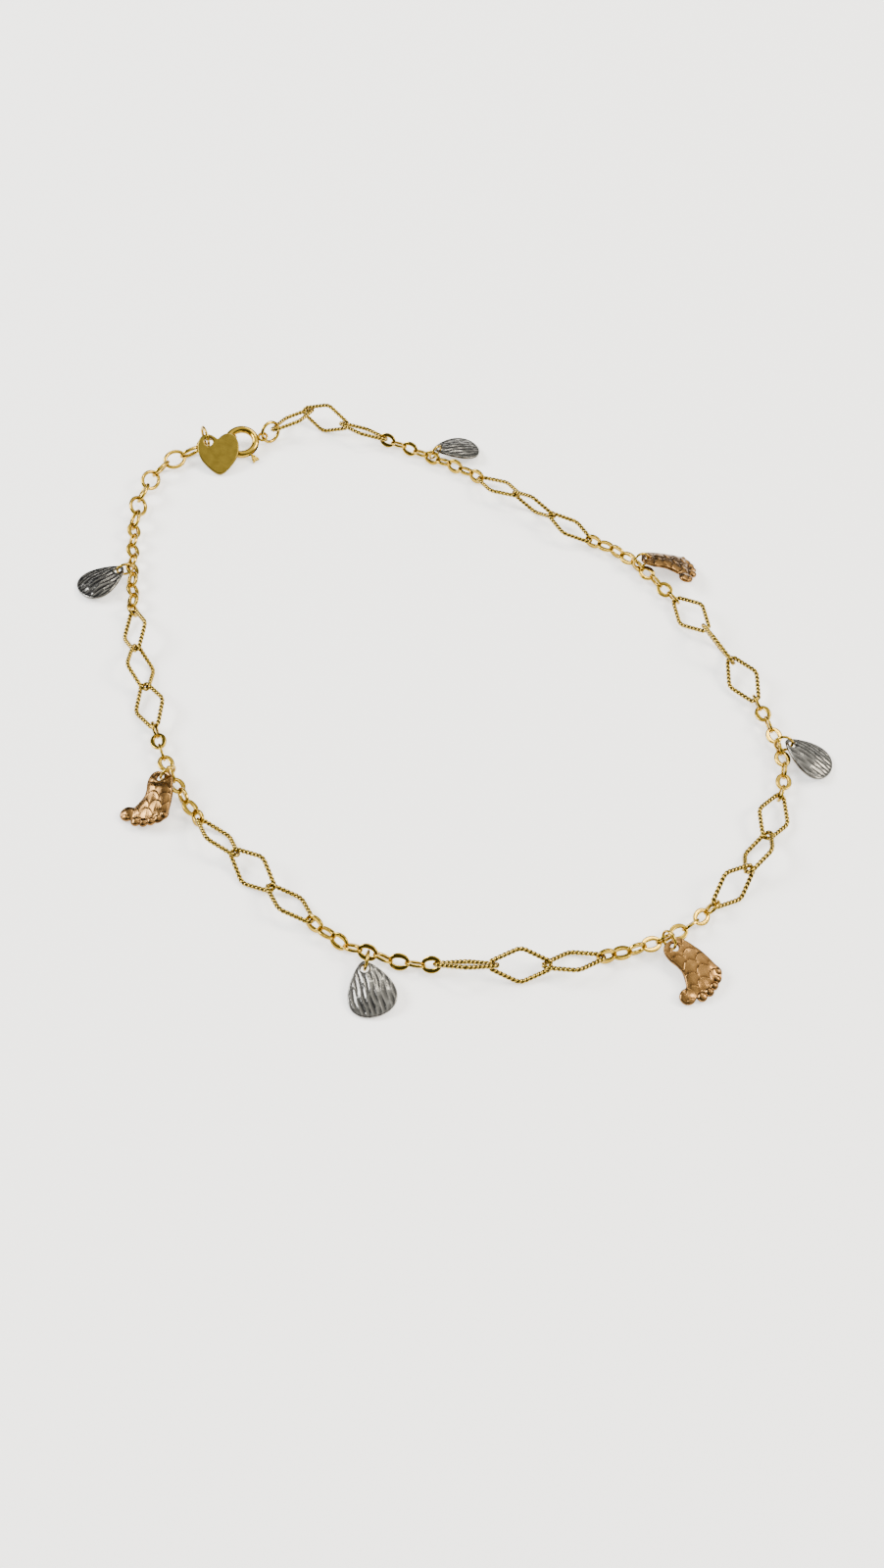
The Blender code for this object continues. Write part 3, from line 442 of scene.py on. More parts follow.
def lozengeShell(place):
    # two strands twisted together: the radius shrinks by the groove's share times the fourth power
    # of the cosine of the angle past the twist, and a strand comes round once in two dashes
    length, width = lozenge["length"] - lozenge["wire"], lozenge["width"] - lozenge["wire"]
    path, outward = rhombusLine(length, width, lozenge["endRadius"], lozenge["softSide"],
                                *lozenge["arcSteps"])
    path, outward = np.vstack([path, path[:1]]), np.vstack([outward, outward[:1]])
    way = along(path)
    count = round(way[-1] / lozenge["dash"]) * lozenge["stepsPerDash"]
    stops = np.linspace(0, way[-1], count, endpoint=False)
    path = np.stack([np.interp(stops, way, path[:, k]) for k in (0, 1)], -1)
    outward = np.stack([np.interp(stops, way, outward[:, k]) for k in (0, 1)], -1)
    outward /= np.linalg.norm(outward, axis=1)[:, None]
    sides = lozenge["sides"]
    turn = np.arange(sides) * 2 * math.pi / sides
    twist = (np.arange(count) / lozenge["stepsPerDash"] * math.pi)[:, None]
    deep = np.cos(turn - twist) ** 2
    reach = lozenge["across"] / 2 * (1 - lozenge["groove"] * deep ** 2)
    section = np.stack([reach * np.cos(turn), reach * np.sin(turn)], -1)
    grid = placed(place, sweepClosed(path, outward, section))
    return grid, [gridFaces(count, sides)], deep.ravel()


def ovalShell(place):
    # a flat band with softened edges, widest along the sides of the link
    angles = np.arange(oval["stations"]) * 360 / oval["stations"]
    path, outward = ellipseLine(oval["length"] - oval["rolledEnd"],
                                oval["width"] - oval["rolledSide"], angles)
    spread = np.sin(np.radians(angles)) ** 2
    band = oval["rolledEnd"] + (oval["rolledSide"] - oval["rolledEnd"]) * spread
    turn = (np.arange(oval["sides"]) + 0.5) * 2 * math.pi / oval["sides"]
    profile = softSquare(1.0, 1.0, turn, oval["squareness"])
    sizes = np.stack([band, np.full(len(band), oval["thickness"])], -1)
    grid = sweepClosed(path, outward, profile * sizes[:, None])
    return placed(place, grid), [gridFaces(oval["stations"], oval["sides"])]


def extenderShell(place):
    angles = np.arange(extender["stations"]) * 360 / extender["stations"]
    path, outward = ellipseLine(extender["length"] - extender["wire"],
                                extender["width"] - extender["wire"], angles)
    grid = sweepClosed(path, outward, roundSection(extender["rolled"] / 2, extender["sides"]))
    return placed(place, grid), [gridFaces(extender["stations"], extender["sides"])]


def outlineDistance(points, outline):
    # how far points lie outside a closed outline; less than nothing inside it
    ahead = np.roll(outline, -1, axis=0) - outline
    offset = points[:, None] - outline[None]
    share = np.clip((offset * ahead).sum(-1) / (ahead ** 2).sum(-1), 0, 1)
    least = np.linalg.norm(offset - ahead * share[..., None], axis=-1).min(1)
    following = np.roll(outline, -1, axis=0)
    crosses = (outline[:, 1] > points[:, None, 1]) != (following[:, 1] > points[:, None, 1])
    rise = np.where(ahead[:, 1] == 0, 1e-12, ahead[:, 1])
    where = outline[:, 0] + (points[:, None, 1] - outline[:, 1]) / rise * ahead[:, 0]
    inside = (crosses & (points[:, None, 0] < where)).sum(1) % 2 == 1
    return np.where(inside, -least, least)


def plateShell(distance, height, low, high, step):
    # a plate of any outline: a square grid whose points near the outline move onto it, with the
    # triangles inside it kept. Its faces are mirror images at a height, joined by a wall
    reach = 0.72 * step         # points nearer the outline than this move onto it
    nudge = 0.2 * step          # the outline's direction is measured this far to each side
    sliver = 0.04 * step        # a triangle whose middle is nearer the outline than this goes
    across, upwards = (np.arange(low[k], high[k] + step, step) for k in (0, 1))
    points = np.stack(np.meshgrid(across, upwards, indexing="ij"), -1).reshape(-1, 2)
    away = distance(points)
    near = np.abs(away) < reach
    for _ in range(2):
        moved = points[near]
        slope = np.stack([distance(moved + d) - distance(moved - d)
                          for d in ((nudge, 0.0), (0.0, nudge))], -1)
        slope /= np.linalg.norm(slope, axis=1, keepdims=True) + 1e-9
        points[near] = moved - slope * distance(moved)[:, None]
    away = distance(points)
    away[near] = 0.0
    rows, columns = len(across), len(upwards)
    index = np.arange(rows * columns).reshape(rows, columns)
    a, b, c, d = index[:-1, :-1], index[1:, :-1], index[1:, 1:], index[:-1, 1:]
    flip = (np.add.outer(np.arange(rows - 1), np.arange(columns - 1)) % 2 == 1)[..., None]
    firstHalf = np.where(flip, np.stack([a, b, d], -1), np.stack([a, b, c], -1))
    otherHalf = np.where(flip, np.stack([b, c, d], -1), np.stack([a, c, d], -1))
    faces = np.concatenate([firstHalf.reshape(-1, 3), otherHalf.reshape(-1, 3)])
    faces = faces[(away[faces] <= 0).all(1)]
    faces = faces[distance(points[faces].mean(1)) < -sliver]
    used, faces = np.unique(faces, return_inverse=True)
    faces = faces.reshape(-1, 3)
    points, away = points[used], away[used]
    z = height(points, -away)
    edges = np.concatenate([faces[:, [0, 1]], faces[:, [1, 2]], faces[:, [2, 0]]])
    _, where, times = np.unique(np.sort(edges, axis=1), axis=0, return_index=True,
                                return_counts=True)
    rim = edges[where[times == 1]]
    count = len(points)
    wall = np.stack([rim[:, 1], rim[:, 0], rim[:, 0] + count, rim[:, 1] + count], -1)
    verts = np.vstack([np.column_stack([points, z]), np.column_stack([points, -z])])
    return verts, [np.concatenate([faces, faces[:, ::-1] + count]), wall], points


def rimHeight(depth, edge, radius):
    # a face's height at a depth inwards from its wall: up by half the radius along an ellipse,
    # since the root of one less 0.75 is a half, and level from one radius in
    inner = np.clip(radius - depth, 0, radius)
    return edge - radius + np.sqrt(radius ** 2 - inner ** 2 * 0.75)


def cutDishes(points, long, wide, wave, power):
    # shallow dishes laid like bricks: one at a dish's middle, nought on the ridges between them,
    # and the higher the power, the flatter the dish and the narrower the ridges
    u = points[:, 0] / long
    sway, pace = wave
    v = (points[:, 1] + sway * np.sin(points[:, 0] * pace)) / wide
    column = np.floor(v)
    u = u + 0.5 * (column % 2)
    du, dv = u - np.floor(u) - 0.5, v - column - 0.5
    return (1 - np.abs(2 * dv) ** power) * (1 - np.abs(2 * du) ** power)


def cutScales(points, long, wide, bow, crest):
    # overlapping scales laid like bricks: one under a scale's lip, falling evenly to nought at its
    # crest, then steeply back to one at the next lip. A lip is a parabola bowed towards the ring
    u, v = -points[:, 0] / long, points[:, 1] / wide

    def lip(row):
        return row + bow * (1 - (2 * ((v + 0.5 * (row % 2)) % 1 - 0.5)) ** 2)

    row = np.floor(u)
    row = row + (u > lip(row))
    share = (u - lip(row - 1)) / (lip(row) - lip(row - 1))
    return np.maximum(1 - share / crest, (share - crest) / (1 - crest))


def addDepth(piece, depth):
    # how deep the cut or the groove goes at each point, kept for the material to paint shade where
    # it is deepest
    layer = piece.data.attributes.new("cutDepth", "FLOAT", "POINT")
    layer.data.foreach_set("value", np.asarray(depth).astype("f"))


def addPlane(piece, flat):
    # the charm's own plane in millimetres as a map
    mesh = piece.data
    loops = np.empty(len(mesh.loops), "i")
    mesh.loops.foreach_get("vertex_index", loops)
    flat = np.vstack([flat, flat])
    layer = mesh.uv_layers.new(name="charmPlane")
    layer.data.foreach_set("uv", flat[loops].astype("f").ravel())


def holeDistance(points, centre, diameter):
    return diameter / 2 - np.linalg.norm(points - np.array(centre), axis=1)


# Materials

def hexColour(text):
    values = np.array([int(text[i:i + 2], 16) for i in (1, 3, 5)]) / 255
    linear = np.where(values <= 0.04045, values / 12.92, ((values + 0.055) / 1.055) ** 2.4)
    return (*linear, 1.0)


def addNode(tree, kind, settings=None, inputs=None):
    node = tree.nodes.new(kind)
    for key, value in (settings or {}).items():
        setattr(node, key, value)
    for key, value in (inputs or {}).items():
        if isinstance(value, bpy.types.NodeSocket):
            tree.links.new(value, node.inputs[key])
        else:
            node.inputs[key].default_value = value
    return node


finishes = {
    # yellow gold, tumbled and polished: a warm mirror with soft ripples from the rolling
    "polishedYellowGold": {"light": "#C9A53C", "dark": "#856A20", "roughness": (0.10, 0.22),
                           "ripple": 0.55, "rippleDepth": 0.012, "grain": 0.09},
    # the same gold on the twisted wire, whose strands flash in dashes over grooves darkened with
    # painted shade
    "twistedYellowGold": {"light": "#D2B048", "dark": "#8A6E24", "roughness": (0.08, 0.18),
                          "ripple": 0.30, "rippleDepth": 0.006, "grain": 0.07,
                          "paintedShadeColour": "#2A1F0A", "shade": (0.30, 0.80, 0.95)},
    # white gold, diamond cut along the charm: cool grey streaks that run pale to nearly black,
    # with painted shade darkening the middle of each cut dish
    "diamondCutWhiteGold": {"light": "#85827A", "dark": "#56544F", "roughness": (0.14, 0.28),
                            "ripple": 0.45, "rippleDepth": 0.010, "grain": 0.08,
                            "paintedShadeColour": "#413F3B", "shade": (0.15, 0.95, 0.75), "hair": 0.11},
    # rose gold, cut in rows of overlapping scales: calm brown with a pale flash at each lip, and a
    # band of painted shade under each lip
    "diamondCutRoseGold": {"light": "#96703F", "dark": "#6A4C28", "roughness": (0.16, 0.30),
                           "ripple": 0.60, "rippleDepth": 0.008, "grain": 0.08,
                           "paintedShadeColour": "#3A2610", "shade": (0.15, 0.95, 0.75), "hair": 0.16},
    # the heart tag's gold, brushed a little duller than the chain
    "satinYellowGold": {"light": "#8C762C", "dark": "#64521C", "roughness": (0.24, 0.38),
                        "ripple": 0.80, "rippleDepth": 0.014, "grain": 0.10},
}


def metal(name):
    # colour drifts over the ripple size, roughness over the grain size, and the ripples dent it
    look = finishes[name]
    material = bpy.data.materials.new(name)
    material.use_nodes = True
    tree = material.node_tree
    shader = tree.nodes["Principled BSDF"]
    shader.inputs["Metallic"].default_value = 1.0
    place = addNode(tree, "ShaderNodeTexCoord").outputs["Object"]
    ripple = addNode(tree, "ShaderNodeTexNoise", None,
                     {"Vector": place, "Scale": 1000 / look["ripple"], "Detail": 2.0})
    grain = addNode(tree, "ShaderNodeTexNoise", None,
                    {"Vector": place, "Scale": 1000 / look["grain"], "Detail": 3.0})
    colour = addNode(tree, "ShaderNodeMix", {"data_type": "RGBA"},
                     {"Factor": ripple.outputs["Fac"], "A": hexColour(look["light"]),
                      "B": hexColour(look["dark"])})
    surface = colour.outputs["Result"]
    height = ripple.outputs["Fac"]
    # painted shade: where a cut or groove is deepest the colour is mixed towards a darker one,
    # standing in for the shade that falls there
    if "paintedShadeColour" in look:
        deep = addNode(tree, "ShaderNodeAttribute", {"attribute_name": "cutDepth"})
        soft = addNode(tree, "ShaderNodeMapRange", None,
                       {"Value": deep.outputs["Fac"], "From Min": look["shade"][0],
                        "From Max": look["shade"][1], "To Min": 0.0, "To Max": look["shade"][2]})
        surface = addNode(tree, "ShaderNodeMix", {"data_type": "RGBA"},
                          {"Factor": soft.outputs["Result"], "A": surface,
                           "B": hexColour(look["paintedShadeColour"])}).outputs["Result"]
    if "hair" in look:
        # the fine lines that the cutter leaves run along the charm
        plane = addNode(tree, "ShaderNodeUVMap", {"uv_map": "charmPlane"})
        stretched = addNode(tree, "ShaderNodeMapping", None,
                            {"Vector": plane.outputs["UV"], "Scale": (0.25, 1.0, 1.0)})
        hair = addNode(tree, "ShaderNodeTexNoise", None,
                       {"Vector": stretched.outputs["Vector"], "Scale": 1 / look["hair"],
                        "Detail": 2.0})
        height = addNode(tree, "ShaderNodeMath", {"operation": "ADD"},
                         {0: height, 1: hair.outputs["Fac"]}).outputs["Value"]
    rough = addNode(tree, "ShaderNodeMapRange", None,
                    {"Value": grain.outputs["Fac"], "From Min": 0.3, "From Max": 0.7,
                     "To Min": look["roughness"][0], "To Max": look["roughness"][1]})
    bump = addNode(tree, "ShaderNodeBump", None,
                   {"Height": height, "Strength": 1.0, "Distance": look["rippleDepth"] * 0.001})
    tree.links.new(surface, shader.inputs["Base Color"])
    tree.links.new(rough.outputs["Result"], shader.inputs["Roughness"])
    tree.links.new(bump.outputs["Normal"], shader.inputs["Normal"])
    return material


metals = {name: metal(name) for name in finishes}
print("metals ready")


# The chain's pieces

links = plainLinks()
claspFrame = placeLinks(links)

number = 0
for link in links:
    if link["kind"] == "lozenge":
        number += 1
        name = f"lozenge_link_{number:02d}"
        verts, faces, deep = lozengeShell(link["place"])
        piece = makePiece(f"twistedLink{number:02d}", [(verts, faces)],
                          metals["twistedYellowGold"], stands=[name])
        # painted shade: the groove's depth darkens the wire's colour between the strands
        addDepth(piece, deep)
for run in [*range(len(chain["groups"])), "extender"]:
    members = [link for link in links if link["run"] == run]
    if run == "extender":
        piece = makePiece("extenderLinks", [extenderShell(link["place"]) for link in members],
                          metals["polishedYellowGold"], stands=["extender_chain"])
    else:
        piece = makePiece(f"flatOvals{run + 1}", [ovalShell(link["place"]) for link in members],
                          metals["polishedYellowGold"], stands=[f"oval_run_{run + 1}"])
piece = makePiece("jumpRing", [ringShell(*rings["jump"], links[0]["place"])],
                  metals["polishedYellowGold"], stands=["clasp_jump_ring"])
print("chain ready")


# The spring ring clasp

def cutFrom(piece, cutter):
    # takes a cutter's solid out of a piece
    change = piece.modifiers.new("slot", "BOOLEAN")
    change.operation, change.solver, change.object = "DIFFERENCE", "EXACT", cutter
    bpy.context.view_layer.update()
    done = piece.evaluated_get(bpy.context.evaluated_depsgraph_get())
    mesh = bpy.data.meshes.new_from_object(done)
    piece.modifiers.clear()
    piece.data = mesh
    bpy.data.objects.remove(cutter, do_unlink=True)
    mesh.shade_smooth()
    mesh.set_sharp_from_angle(angle=math.radians(45))


def tubeShell():
    # the tube's wall as one closed band: out along the outside, round a lip, back along the bore,
    # round the other lip, and all of it carried round the tube's own section
    start, end = clasp["mouthEnd"], clasp["mouthStart"] + 360
    wall = (clasp["tube"] - clasp["bore"]) / 2
    middle = (clasp["tube"] + clasp["bore"]) / 2
    turn = np.linspace(-90, 90, clasp["lipSteps"])
    ahead = np.degrees(wall * np.cos(np.radians(turn)) / clasp["radius"])
    lip = np.degrees(wall / clasp["radius"])
    count, sides = clasp["tubeStations"], clasp["tubeSides"]
    angles = np.concatenate([np.linspace(start + lip, end - lip, count),
                             end - lip + ahead[::-1][1:],
                             np.linspace(end - lip, start + lip, count)[1:],
                             start + lip - ahead[1:-1]])
    reach = np.concatenate([np.full(count, clasp["tube"]),
                            middle + wall * np.sin(np.radians(turn[::-1]))[1:],
                            np.full(count - 1, clasp["bore"]),
                            middle + wall * np.sin(np.radians(turn))[1:-1]])
    around = np.arange(sides) * 2 * math.pi / sides
    radius = clasp["radius"] + reach[:, None] * np.cos(around)
    grid = roundRing(angles[:, None] + 0 * around, 1.0)
    grid[..., :2] *= radius[..., None]
    grid[..., 2] = reach[:, None] * np.sin(around)
    return placed(claspFrame, grid), [gridFaces(len(angles), sides)]


def slotShell():
    # a thick arc beyond the tube's middle line, where the lever travels
    slack = math.degrees(clasp["slotGap"] / clasp["radius"])
    half = math.degrees(clasp["leverWidth"] / 2 / clasp["radius"])
    count = clasp["slotStations"]
    angles = np.linspace(clasp["leverAngle"] - half - slack,
                         clasp["leverAngle"] + clasp["travel"] + half + slack, count)
    tall = clasp["leverWidth"] / 2 + clasp["slotGap"]
    beyond = clasp["tube"] + 2 * clasp["slotGap"]
    section = np.array([(0, -tall), (beyond, -tall), (beyond, tall), (0, tall)])
    grid = roundRing(angles[:, None] + 0 * section[:, 0], 1.0)
    grid[..., :2] *= (clasp["radius"] + section[:, 0])[None, :, None]
    grid[..., 2] = section[:, 1]
    corners = np.arange(4)
    ends = np.stack([corners[::-1], corners + 4 * (count - 1)])
    return placed(claspFrame, grid), [gridFaces(count, 4, closeRows=False), ends]


def rodShell():
    # the bolt: a round section carried along an arc and drawn in to a point at both ends
    start = clasp["mouthStart"] - clasp["boltEntry"]
    end = clasp["leverAngle"] + clasp["boltTail"]
    tip = np.degrees(clasp["bolt"] / clasp["radius"])
    ease = np.linspace(0.0, 1.0, clasp["lipSteps"])
    count, sides = clasp["boltStations"], clasp["boltSides"]
    angles = np.concatenate([start + tip * (1 - np.cos(ease * math.pi / 2)),
                             np.linspace(start + tip, end - tip, count)[1:-1],
                             end - tip * (1 - np.cos(ease[::-1] * math.pi / 2))])
    reach = clasp["bolt"] * np.concatenate([np.sin(ease * math.pi / 2), np.ones(count - 2),
                                            np.sin(ease[::-1] * math.pi / 2)])
    reach = np.maximum(reach, 0.02 * clasp["bolt"])      # the points are blunt by a hair
    around = np.arange(sides) * 2 * math.pi / sides
    grid = roundRing(angles[:, None] + 0 * around, 1.0)
    grid[..., :2] *= (clasp["radius"] + reach[:, None] * np.cos(around))[..., None]
    grid[..., 2] = reach[:, None] * np.sin(around)
    rows = len(angles)
    caps = np.stack([np.arange(sides)[::-1], np.arange(sides) + (rows - 1) * sides])
    return placed(claspFrame, grid), [gridFaces(rows, sides, closeRows=False), caps]


lever = {"edgeRound": 0.05, "rimRound": 0.08, "step": 0.03, "shoulder": 0.30, "corner": 0.12,
         "shoulderShare": 0.5, "tipShare": 0.72,        # how wide, as shares of the fan
         "notch": 0.18, "groovePitch": 0.22, "grooveFrom": 0.25, "grooveEase": 0.15,
         "grooveDepth": 0.045, "gridFrom": (1.6, -0.6), "gridTo": (3.5, 0.6)}


def leverShell():
    # a thumb plate that spreads to a fishtail with fine grooves towards its end
    half, fan, tip = clasp["leverWidth"] / 2, clasp["leverFan"] / 2, clasp["leverReach"]
    soft, shoulder = lever["edgeRound"], lever["shoulder"]
    clear = clasp["radius"] + clasp["tube"] + clasp["slotGap"]
    # one side of the outline from the bolt to the tip; the other side mirrors it
    side = np.array([(clasp["radius"], half - soft), (clear, half - soft),
                     (clear + shoulder, lever["shoulderShare"] * fan),
                     (tip - lever["corner"], fan - soft), (tip - soft, lever["tipShare"] * fan)])
    edge = np.vstack([side * (1, -1), [(tip - lever["notch"], 0.0)], side[::-1]])

    def distance(points):
        return outlineDistance(points, edge) - soft

    def height(points, depth):
        grooves = 0.5 - 0.5 * np.cos(points[:, 1] * 2 * math.pi / lever["groovePitch"])
        grooved = np.clip((points[:, 0] - clear - lever["grooveFrom"]) / lever["grooveEase"], 0, 1)
        inside = np.clip(depth / lever["rimRound"], 0, 1)
        return (rimHeight(depth, half, lever["rimRound"])
                - lever["grooveDepth"] * grooves * grooved * inside)

    verts, faces, _ = plateShell(distance, height, lever["gridFrom"], lever["gridTo"],
                                 lever["step"])
    turn = axesFrom((0, 0, 0), roundRing(clasp["leverAngle"], 1.0),
                    roundRing(clasp["leverAngle"] + 90, 1.0))
    return placed(claspFrame, placed(turn, verts)), faces


tube = makePiece("claspTube", [tubeShell()], metals["polishedYellowGold"], body=None)
cutFrom(tube, makePiece("slotCutter", [slotShell()], metals["polishedYellowGold"], body=None))
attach(tube, "anklet")
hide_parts("clasp_ring")
eyelet = claspFrame.copy()
eyelet[:3, 3] = placed(claspFrame, roundRing(clasp["loopAngle"], loopMiddle()))
piece = makePiece("claspEyelet", [ringShell(2 * clasp["loopRadius"] + clasp["loopWire"],
                                            clasp["loopWire"], eyelet)],
                  metals["polishedYellowGold"])
piece = makePiece("claspBolt", [rodShell(), leverShell()], metals["polishedYellowGold"], "bolt",
                  ["clasp_bolt"])
print("clasp ready")


# The charms

drop = {"length": 5.8, "width": 4.8, "thickness": 0.95,
        "neck": 0.35, "fullness": 0.8,      # how narrow it starts, and how fast it widens
        "middle": 0.58,                     # where its dome stands, as a share of the length
        "cutLong": 2.4, "cutWide": 0.50, "cutDepth": 0.062, "cutPower": 2.2,
        "wave": (0.05, 2.1),                # how far a row of cuts sways, and how fast
        "bareRim": 0.08, "border": 0.20}
foot = {"length": 6.7, "width": 5.0, "thickness": 0.85, "webbing": 0.45,
        "soleRound": 1.1, "toeHeight": 0.86, "heelShare": 0.3,
        "scaleLong": 1.05, "scaleWide": 1.5, "scaleBow": 0.60, "crest": 0.92,
        "cutDepth": 0.085, "bareRim": 0.06, "gridFrom": (-0.3, -3.4), "gridTo": (7.4, 2.8),
        # along, inner edge, outer edge, as shares of the length and the width
        "sections": [(0.000, -0.09, 0.10), (0.045, -0.20, 0.21), (0.130, -0.25, 0.28),
                     (0.250, -0.25, 0.34), (0.360, -0.21, 0.39), (0.470, -0.20, 0.42),
                     (0.580, -0.25, 0.44), (0.700, -0.32, 0.45), (0.800, -0.32, 0.41),
                     (0.880, -0.24, 0.28)],
        # along, across, radius of each toe
        "toes": [(0.810, -0.43, 0.165), (0.925, -0.19, 0.105), (0.930, -0.01, 0.095),
                 (0.895, 0.14, 0.092), (0.835, 0.27, 0.090), (0.760, 0.38, 0.085)]}


def dropPlate():
    # a pear outline whose width follows a circle narrowed towards the ring, domed as the square of
    # one less the squared share of the way out from its middle
    turn = 2 * math.pi * np.arange(160) / 160
    share = (1 - np.cos(turn)) / 2
    spread = np.sin(turn) * (drop["neck"] + (1 - drop["neck"]) * share ** drop["fullness"])
    spread /= np.abs(spread).max()
    outline = np.stack([drop["length"] * share, drop["width"] / 2 * spread], -1)
    centre = np.array([drop["middle"] * drop["length"], 0.0])
    bearing = np.arctan2(*(outline - centre).T[::-1])
    order = np.argsort(bearing)
    reach = np.linalg.norm(outline - centre, axis=1)
    edge, crown = charms["edge"] / 2, drop["thickness"] / 2

    def distance(points):
        return np.maximum(outlineDistance(points, outline),
                          holeDistance(points, (charms["holeInset"], 0.0), charms["hole"]))

    def cut(points):
        return cutDishes(points, drop["cutLong"], drop["cutWide"], drop["wave"],
                         drop["cutPower"])

    def height(points, depth):
        offset = points - centre
        limit = np.interp(np.arctan2(offset[:, 1], offset[:, 0]), bearing[order], reach[order],
                          period=2 * math.pi)
        out = np.clip(np.linalg.norm(offset, axis=1) / limit, 0, 1)
        ease = np.clip((depth - drop["bareRim"]) / charms["cutEase"], 0, 1)
        return (rimHeight(depth, edge, charms["rimRound"])
                + (crown - edge) * (1 - out ** 2) ** 2 + charms["cutRaise"] * ease
                - drop["cutDepth"] * cut(points) * ease)

    border = drop["border"]
    low = (-border, -drop["width"] / 2 - border)
    high = (drop["length"] + border, drop["width"] / 2 + border)
    verts, faces, points = plateShell(distance, height, low, high, charms["step"])
    # the same dish shape marks where painted shade darkens the charm
    return verts, faces, points, cut(points)


def footPlate():
    # the sole's edge is a smooth closed curve through its sections and the toes are round pads;
    # the top rises from the rim as one less a square, and each toe as a dome
    length, width = foot["length"], foot["width"]
    sections = np.array(foot["sections"]) * (length, width, width)
    edge = np.vstack([sections[:, :2], sections[::-1][:, [0, 2]]])
    closed = np.vstack([edge[-2:], edge, edge[:2]])
    curve = smoothRoute(closed, 8)
    outline = curve[16:-17]
    toes = np.array(foot["toes"]) * (length, width, width)
    edgeHeight, crown = charms["edge"] / 2, foot["thickness"] / 2

    def toeShare(points):
        return np.stack([np.linalg.norm(points - toe[:2], axis=1) / toe[2] for toe in toes])

    def distance(points):
        sole = outlineDistance(points, outline)
        pads = ((toeShare(points) - 1) * toes[:, 2:]).min(0)
        # where a toe meets the sole the corner is filled in a little
        blend = np.clip(0.5 + 0.5 * (sole - pads) / foot["webbing"], 0, 1)
        both = sole + (pads - sole) * blend - foot["webbing"] * blend * (1 - blend)
        return np.maximum(both, holeDistance(points, (charms["holeInset"], 0.0), charms["hole"]))

    def cut(points):
        return cutScales(points, foot["scaleLong"], foot["scaleWide"], foot["scaleBow"],
                         foot["crest"])

    def height(points, depth):
        share = np.clip(points[:, 0] / length, 0.001, 0.999)
        arch = np.sqrt(1 - (2 * share - 1) ** 2) * np.minimum(1, share / foot["heelShare"])
        sole = -outlineDistance(points, outline)
        rise = 1 - (1 - np.clip(sole / foot["soleRound"], 0, 1)) ** 2
        pad = np.clip(1 - toeShare(points).min(0) ** 2, 0, 1)
        top = np.maximum(arch * rise, foot["toeHeight"] * pad) * (crown - edgeHeight)
        ease = np.clip((depth - foot["bareRim"]) / charms["cutEase"], 0, 1)
        return (rimHeight(depth, edgeHeight, charms["rimRound"]) + top
                + charms["cutRaise"] * ease - foot["cutDepth"] * cut(points) * ease)

    verts, faces, points = plateShell(distance, height, foot["gridFrom"], foot["gridTo"],
                                      charms["step"])
    # the cube keeps the painted shade to a narrow band just under each lip
    return verts, faces, points, cut(points) ** 3


def charmPlace(verts, hold, heading, turn):
    # the hole is at the point that holds it, and the charm leans down until it touches the floor
    heading, turn = math.radians(heading), math.radians(turn)
    away = np.array([math.cos(heading), math.sin(heading), 0.0])
    side = np.cross(up, away)
    low, high = -0.2, 1.2
    for _ in range(30):
        slope = (low + high) / 2
        xAxis = away * math.cos(slope) - up * math.sin(slope)
        yAxis = side * math.cos(turn) + np.cross(xAxis, side) * math.sin(turn)
        place = axesFrom((0, 0, 0), xAxis, yAxis)
        place[:3, 3] = hold - place[:3, :3] @ np.array([charms["holeInset"], 0.0, 0.0])
        low, high = (slope, high) if placed(place, verts)[:, 2].min() > 0 else (low, slope)
    return place


plates = {"drop": dropPlate(), "foot": footPlate()}
finish = {"drop": ("diamondCutWhiteGold", "white_gold"),
          "foot": ("diamondCutRoseGold", "rose_gold")}
for number, charm in enumerate(charms["list"], start=1):
    kind, heading, turn, _ = charm
    ring, hold = charmRing(middleLink(links, number - 1), charm)
    piece = makePiece(f"charmRing{number}", [ringShell(*rings["charm"], ring)],
                      metals["polishedYellowGold"], stands=[f"charm_ring_{number}"])
    verts, faces, flat, paintedShadeMask = plates[kind]
    place = charmPlace(verts, hold, heading, turn)
    piece = makePiece(f"{kind}Charm{number}", [(placed(place, verts), faces)],
                      metals[finish[kind][0]], stands=[f"{kind}_charm_{number}"])
    addPlane(piece, flat)
    # painted shade: the cut's depth darkens the charm's colour in its hollows
    addDepth(piece, [*paintedShadeMask, *paintedShadeMask])
print("charms ready")


# The heart tag

heart = {"width": 5.0, "height": 5.2, "thickness": 0.45, "hole": 1.08, "heading": -72.0,
         "holeAt": (-0.23, 0.82),           # as shares of the width and the height
         "sinePower": 1.5, "waves": (13, 5, 2, 1),
         "ringDrop": -5.0, "clearance": 0.03, "rimRound": 0.16, "step": 0.055,
         "cornerRound": 0.70, "middle": 0.55, "reach": 2.55, "turnedRight": 10.0,
         "gridFrom": (-2.8, -0.3), "gridTo": (2.8, 5.5)}


def heartPlate():
    # the width is a power of a sine, and the height one cosine less three faster ones
    turn = 2 * math.pi * np.arange(200) / 200 + math.pi
    wide = np.sign(np.sin(turn)) * np.abs(np.sin(turn)) ** heart["sinePower"]
    first, *others = [size * np.cos(k * turn) for k, size in enumerate(heart["waves"], start=1)]
    tall = first - sum(others)
    tall = (tall - tall.min()) / (tall.max() - tall.min())
    outline = np.stack([-heart["width"] / 2 * wide, heart["height"] * tall], -1)
    hole = (heart["holeAt"][0] * heart["width"], heart["holeAt"][1] * heart["height"])
    # shrunk about its middle and grown again by the same amount, which rounds its tip
    corner, middle = heart["cornerRound"], np.array([0.0, heart["middle"] * heart["height"]])
    outline = middle + (outline - middle) * (1 - corner / heart["reach"])

    def distance(points):
        return np.maximum(outlineDistance(points, outline) - corner,
                          holeDistance(points, hole, heart["hole"]))

    def height(points, depth):
        return rimHeight(depth, heart["thickness"] / 2, heart["rimRound"])

    verts, faces, _ = plateShell(distance, height, heart["gridFrom"], heart["gridTo"],
                                 heart["step"])
    return verts, faces, np.array([*hole, 0.0])


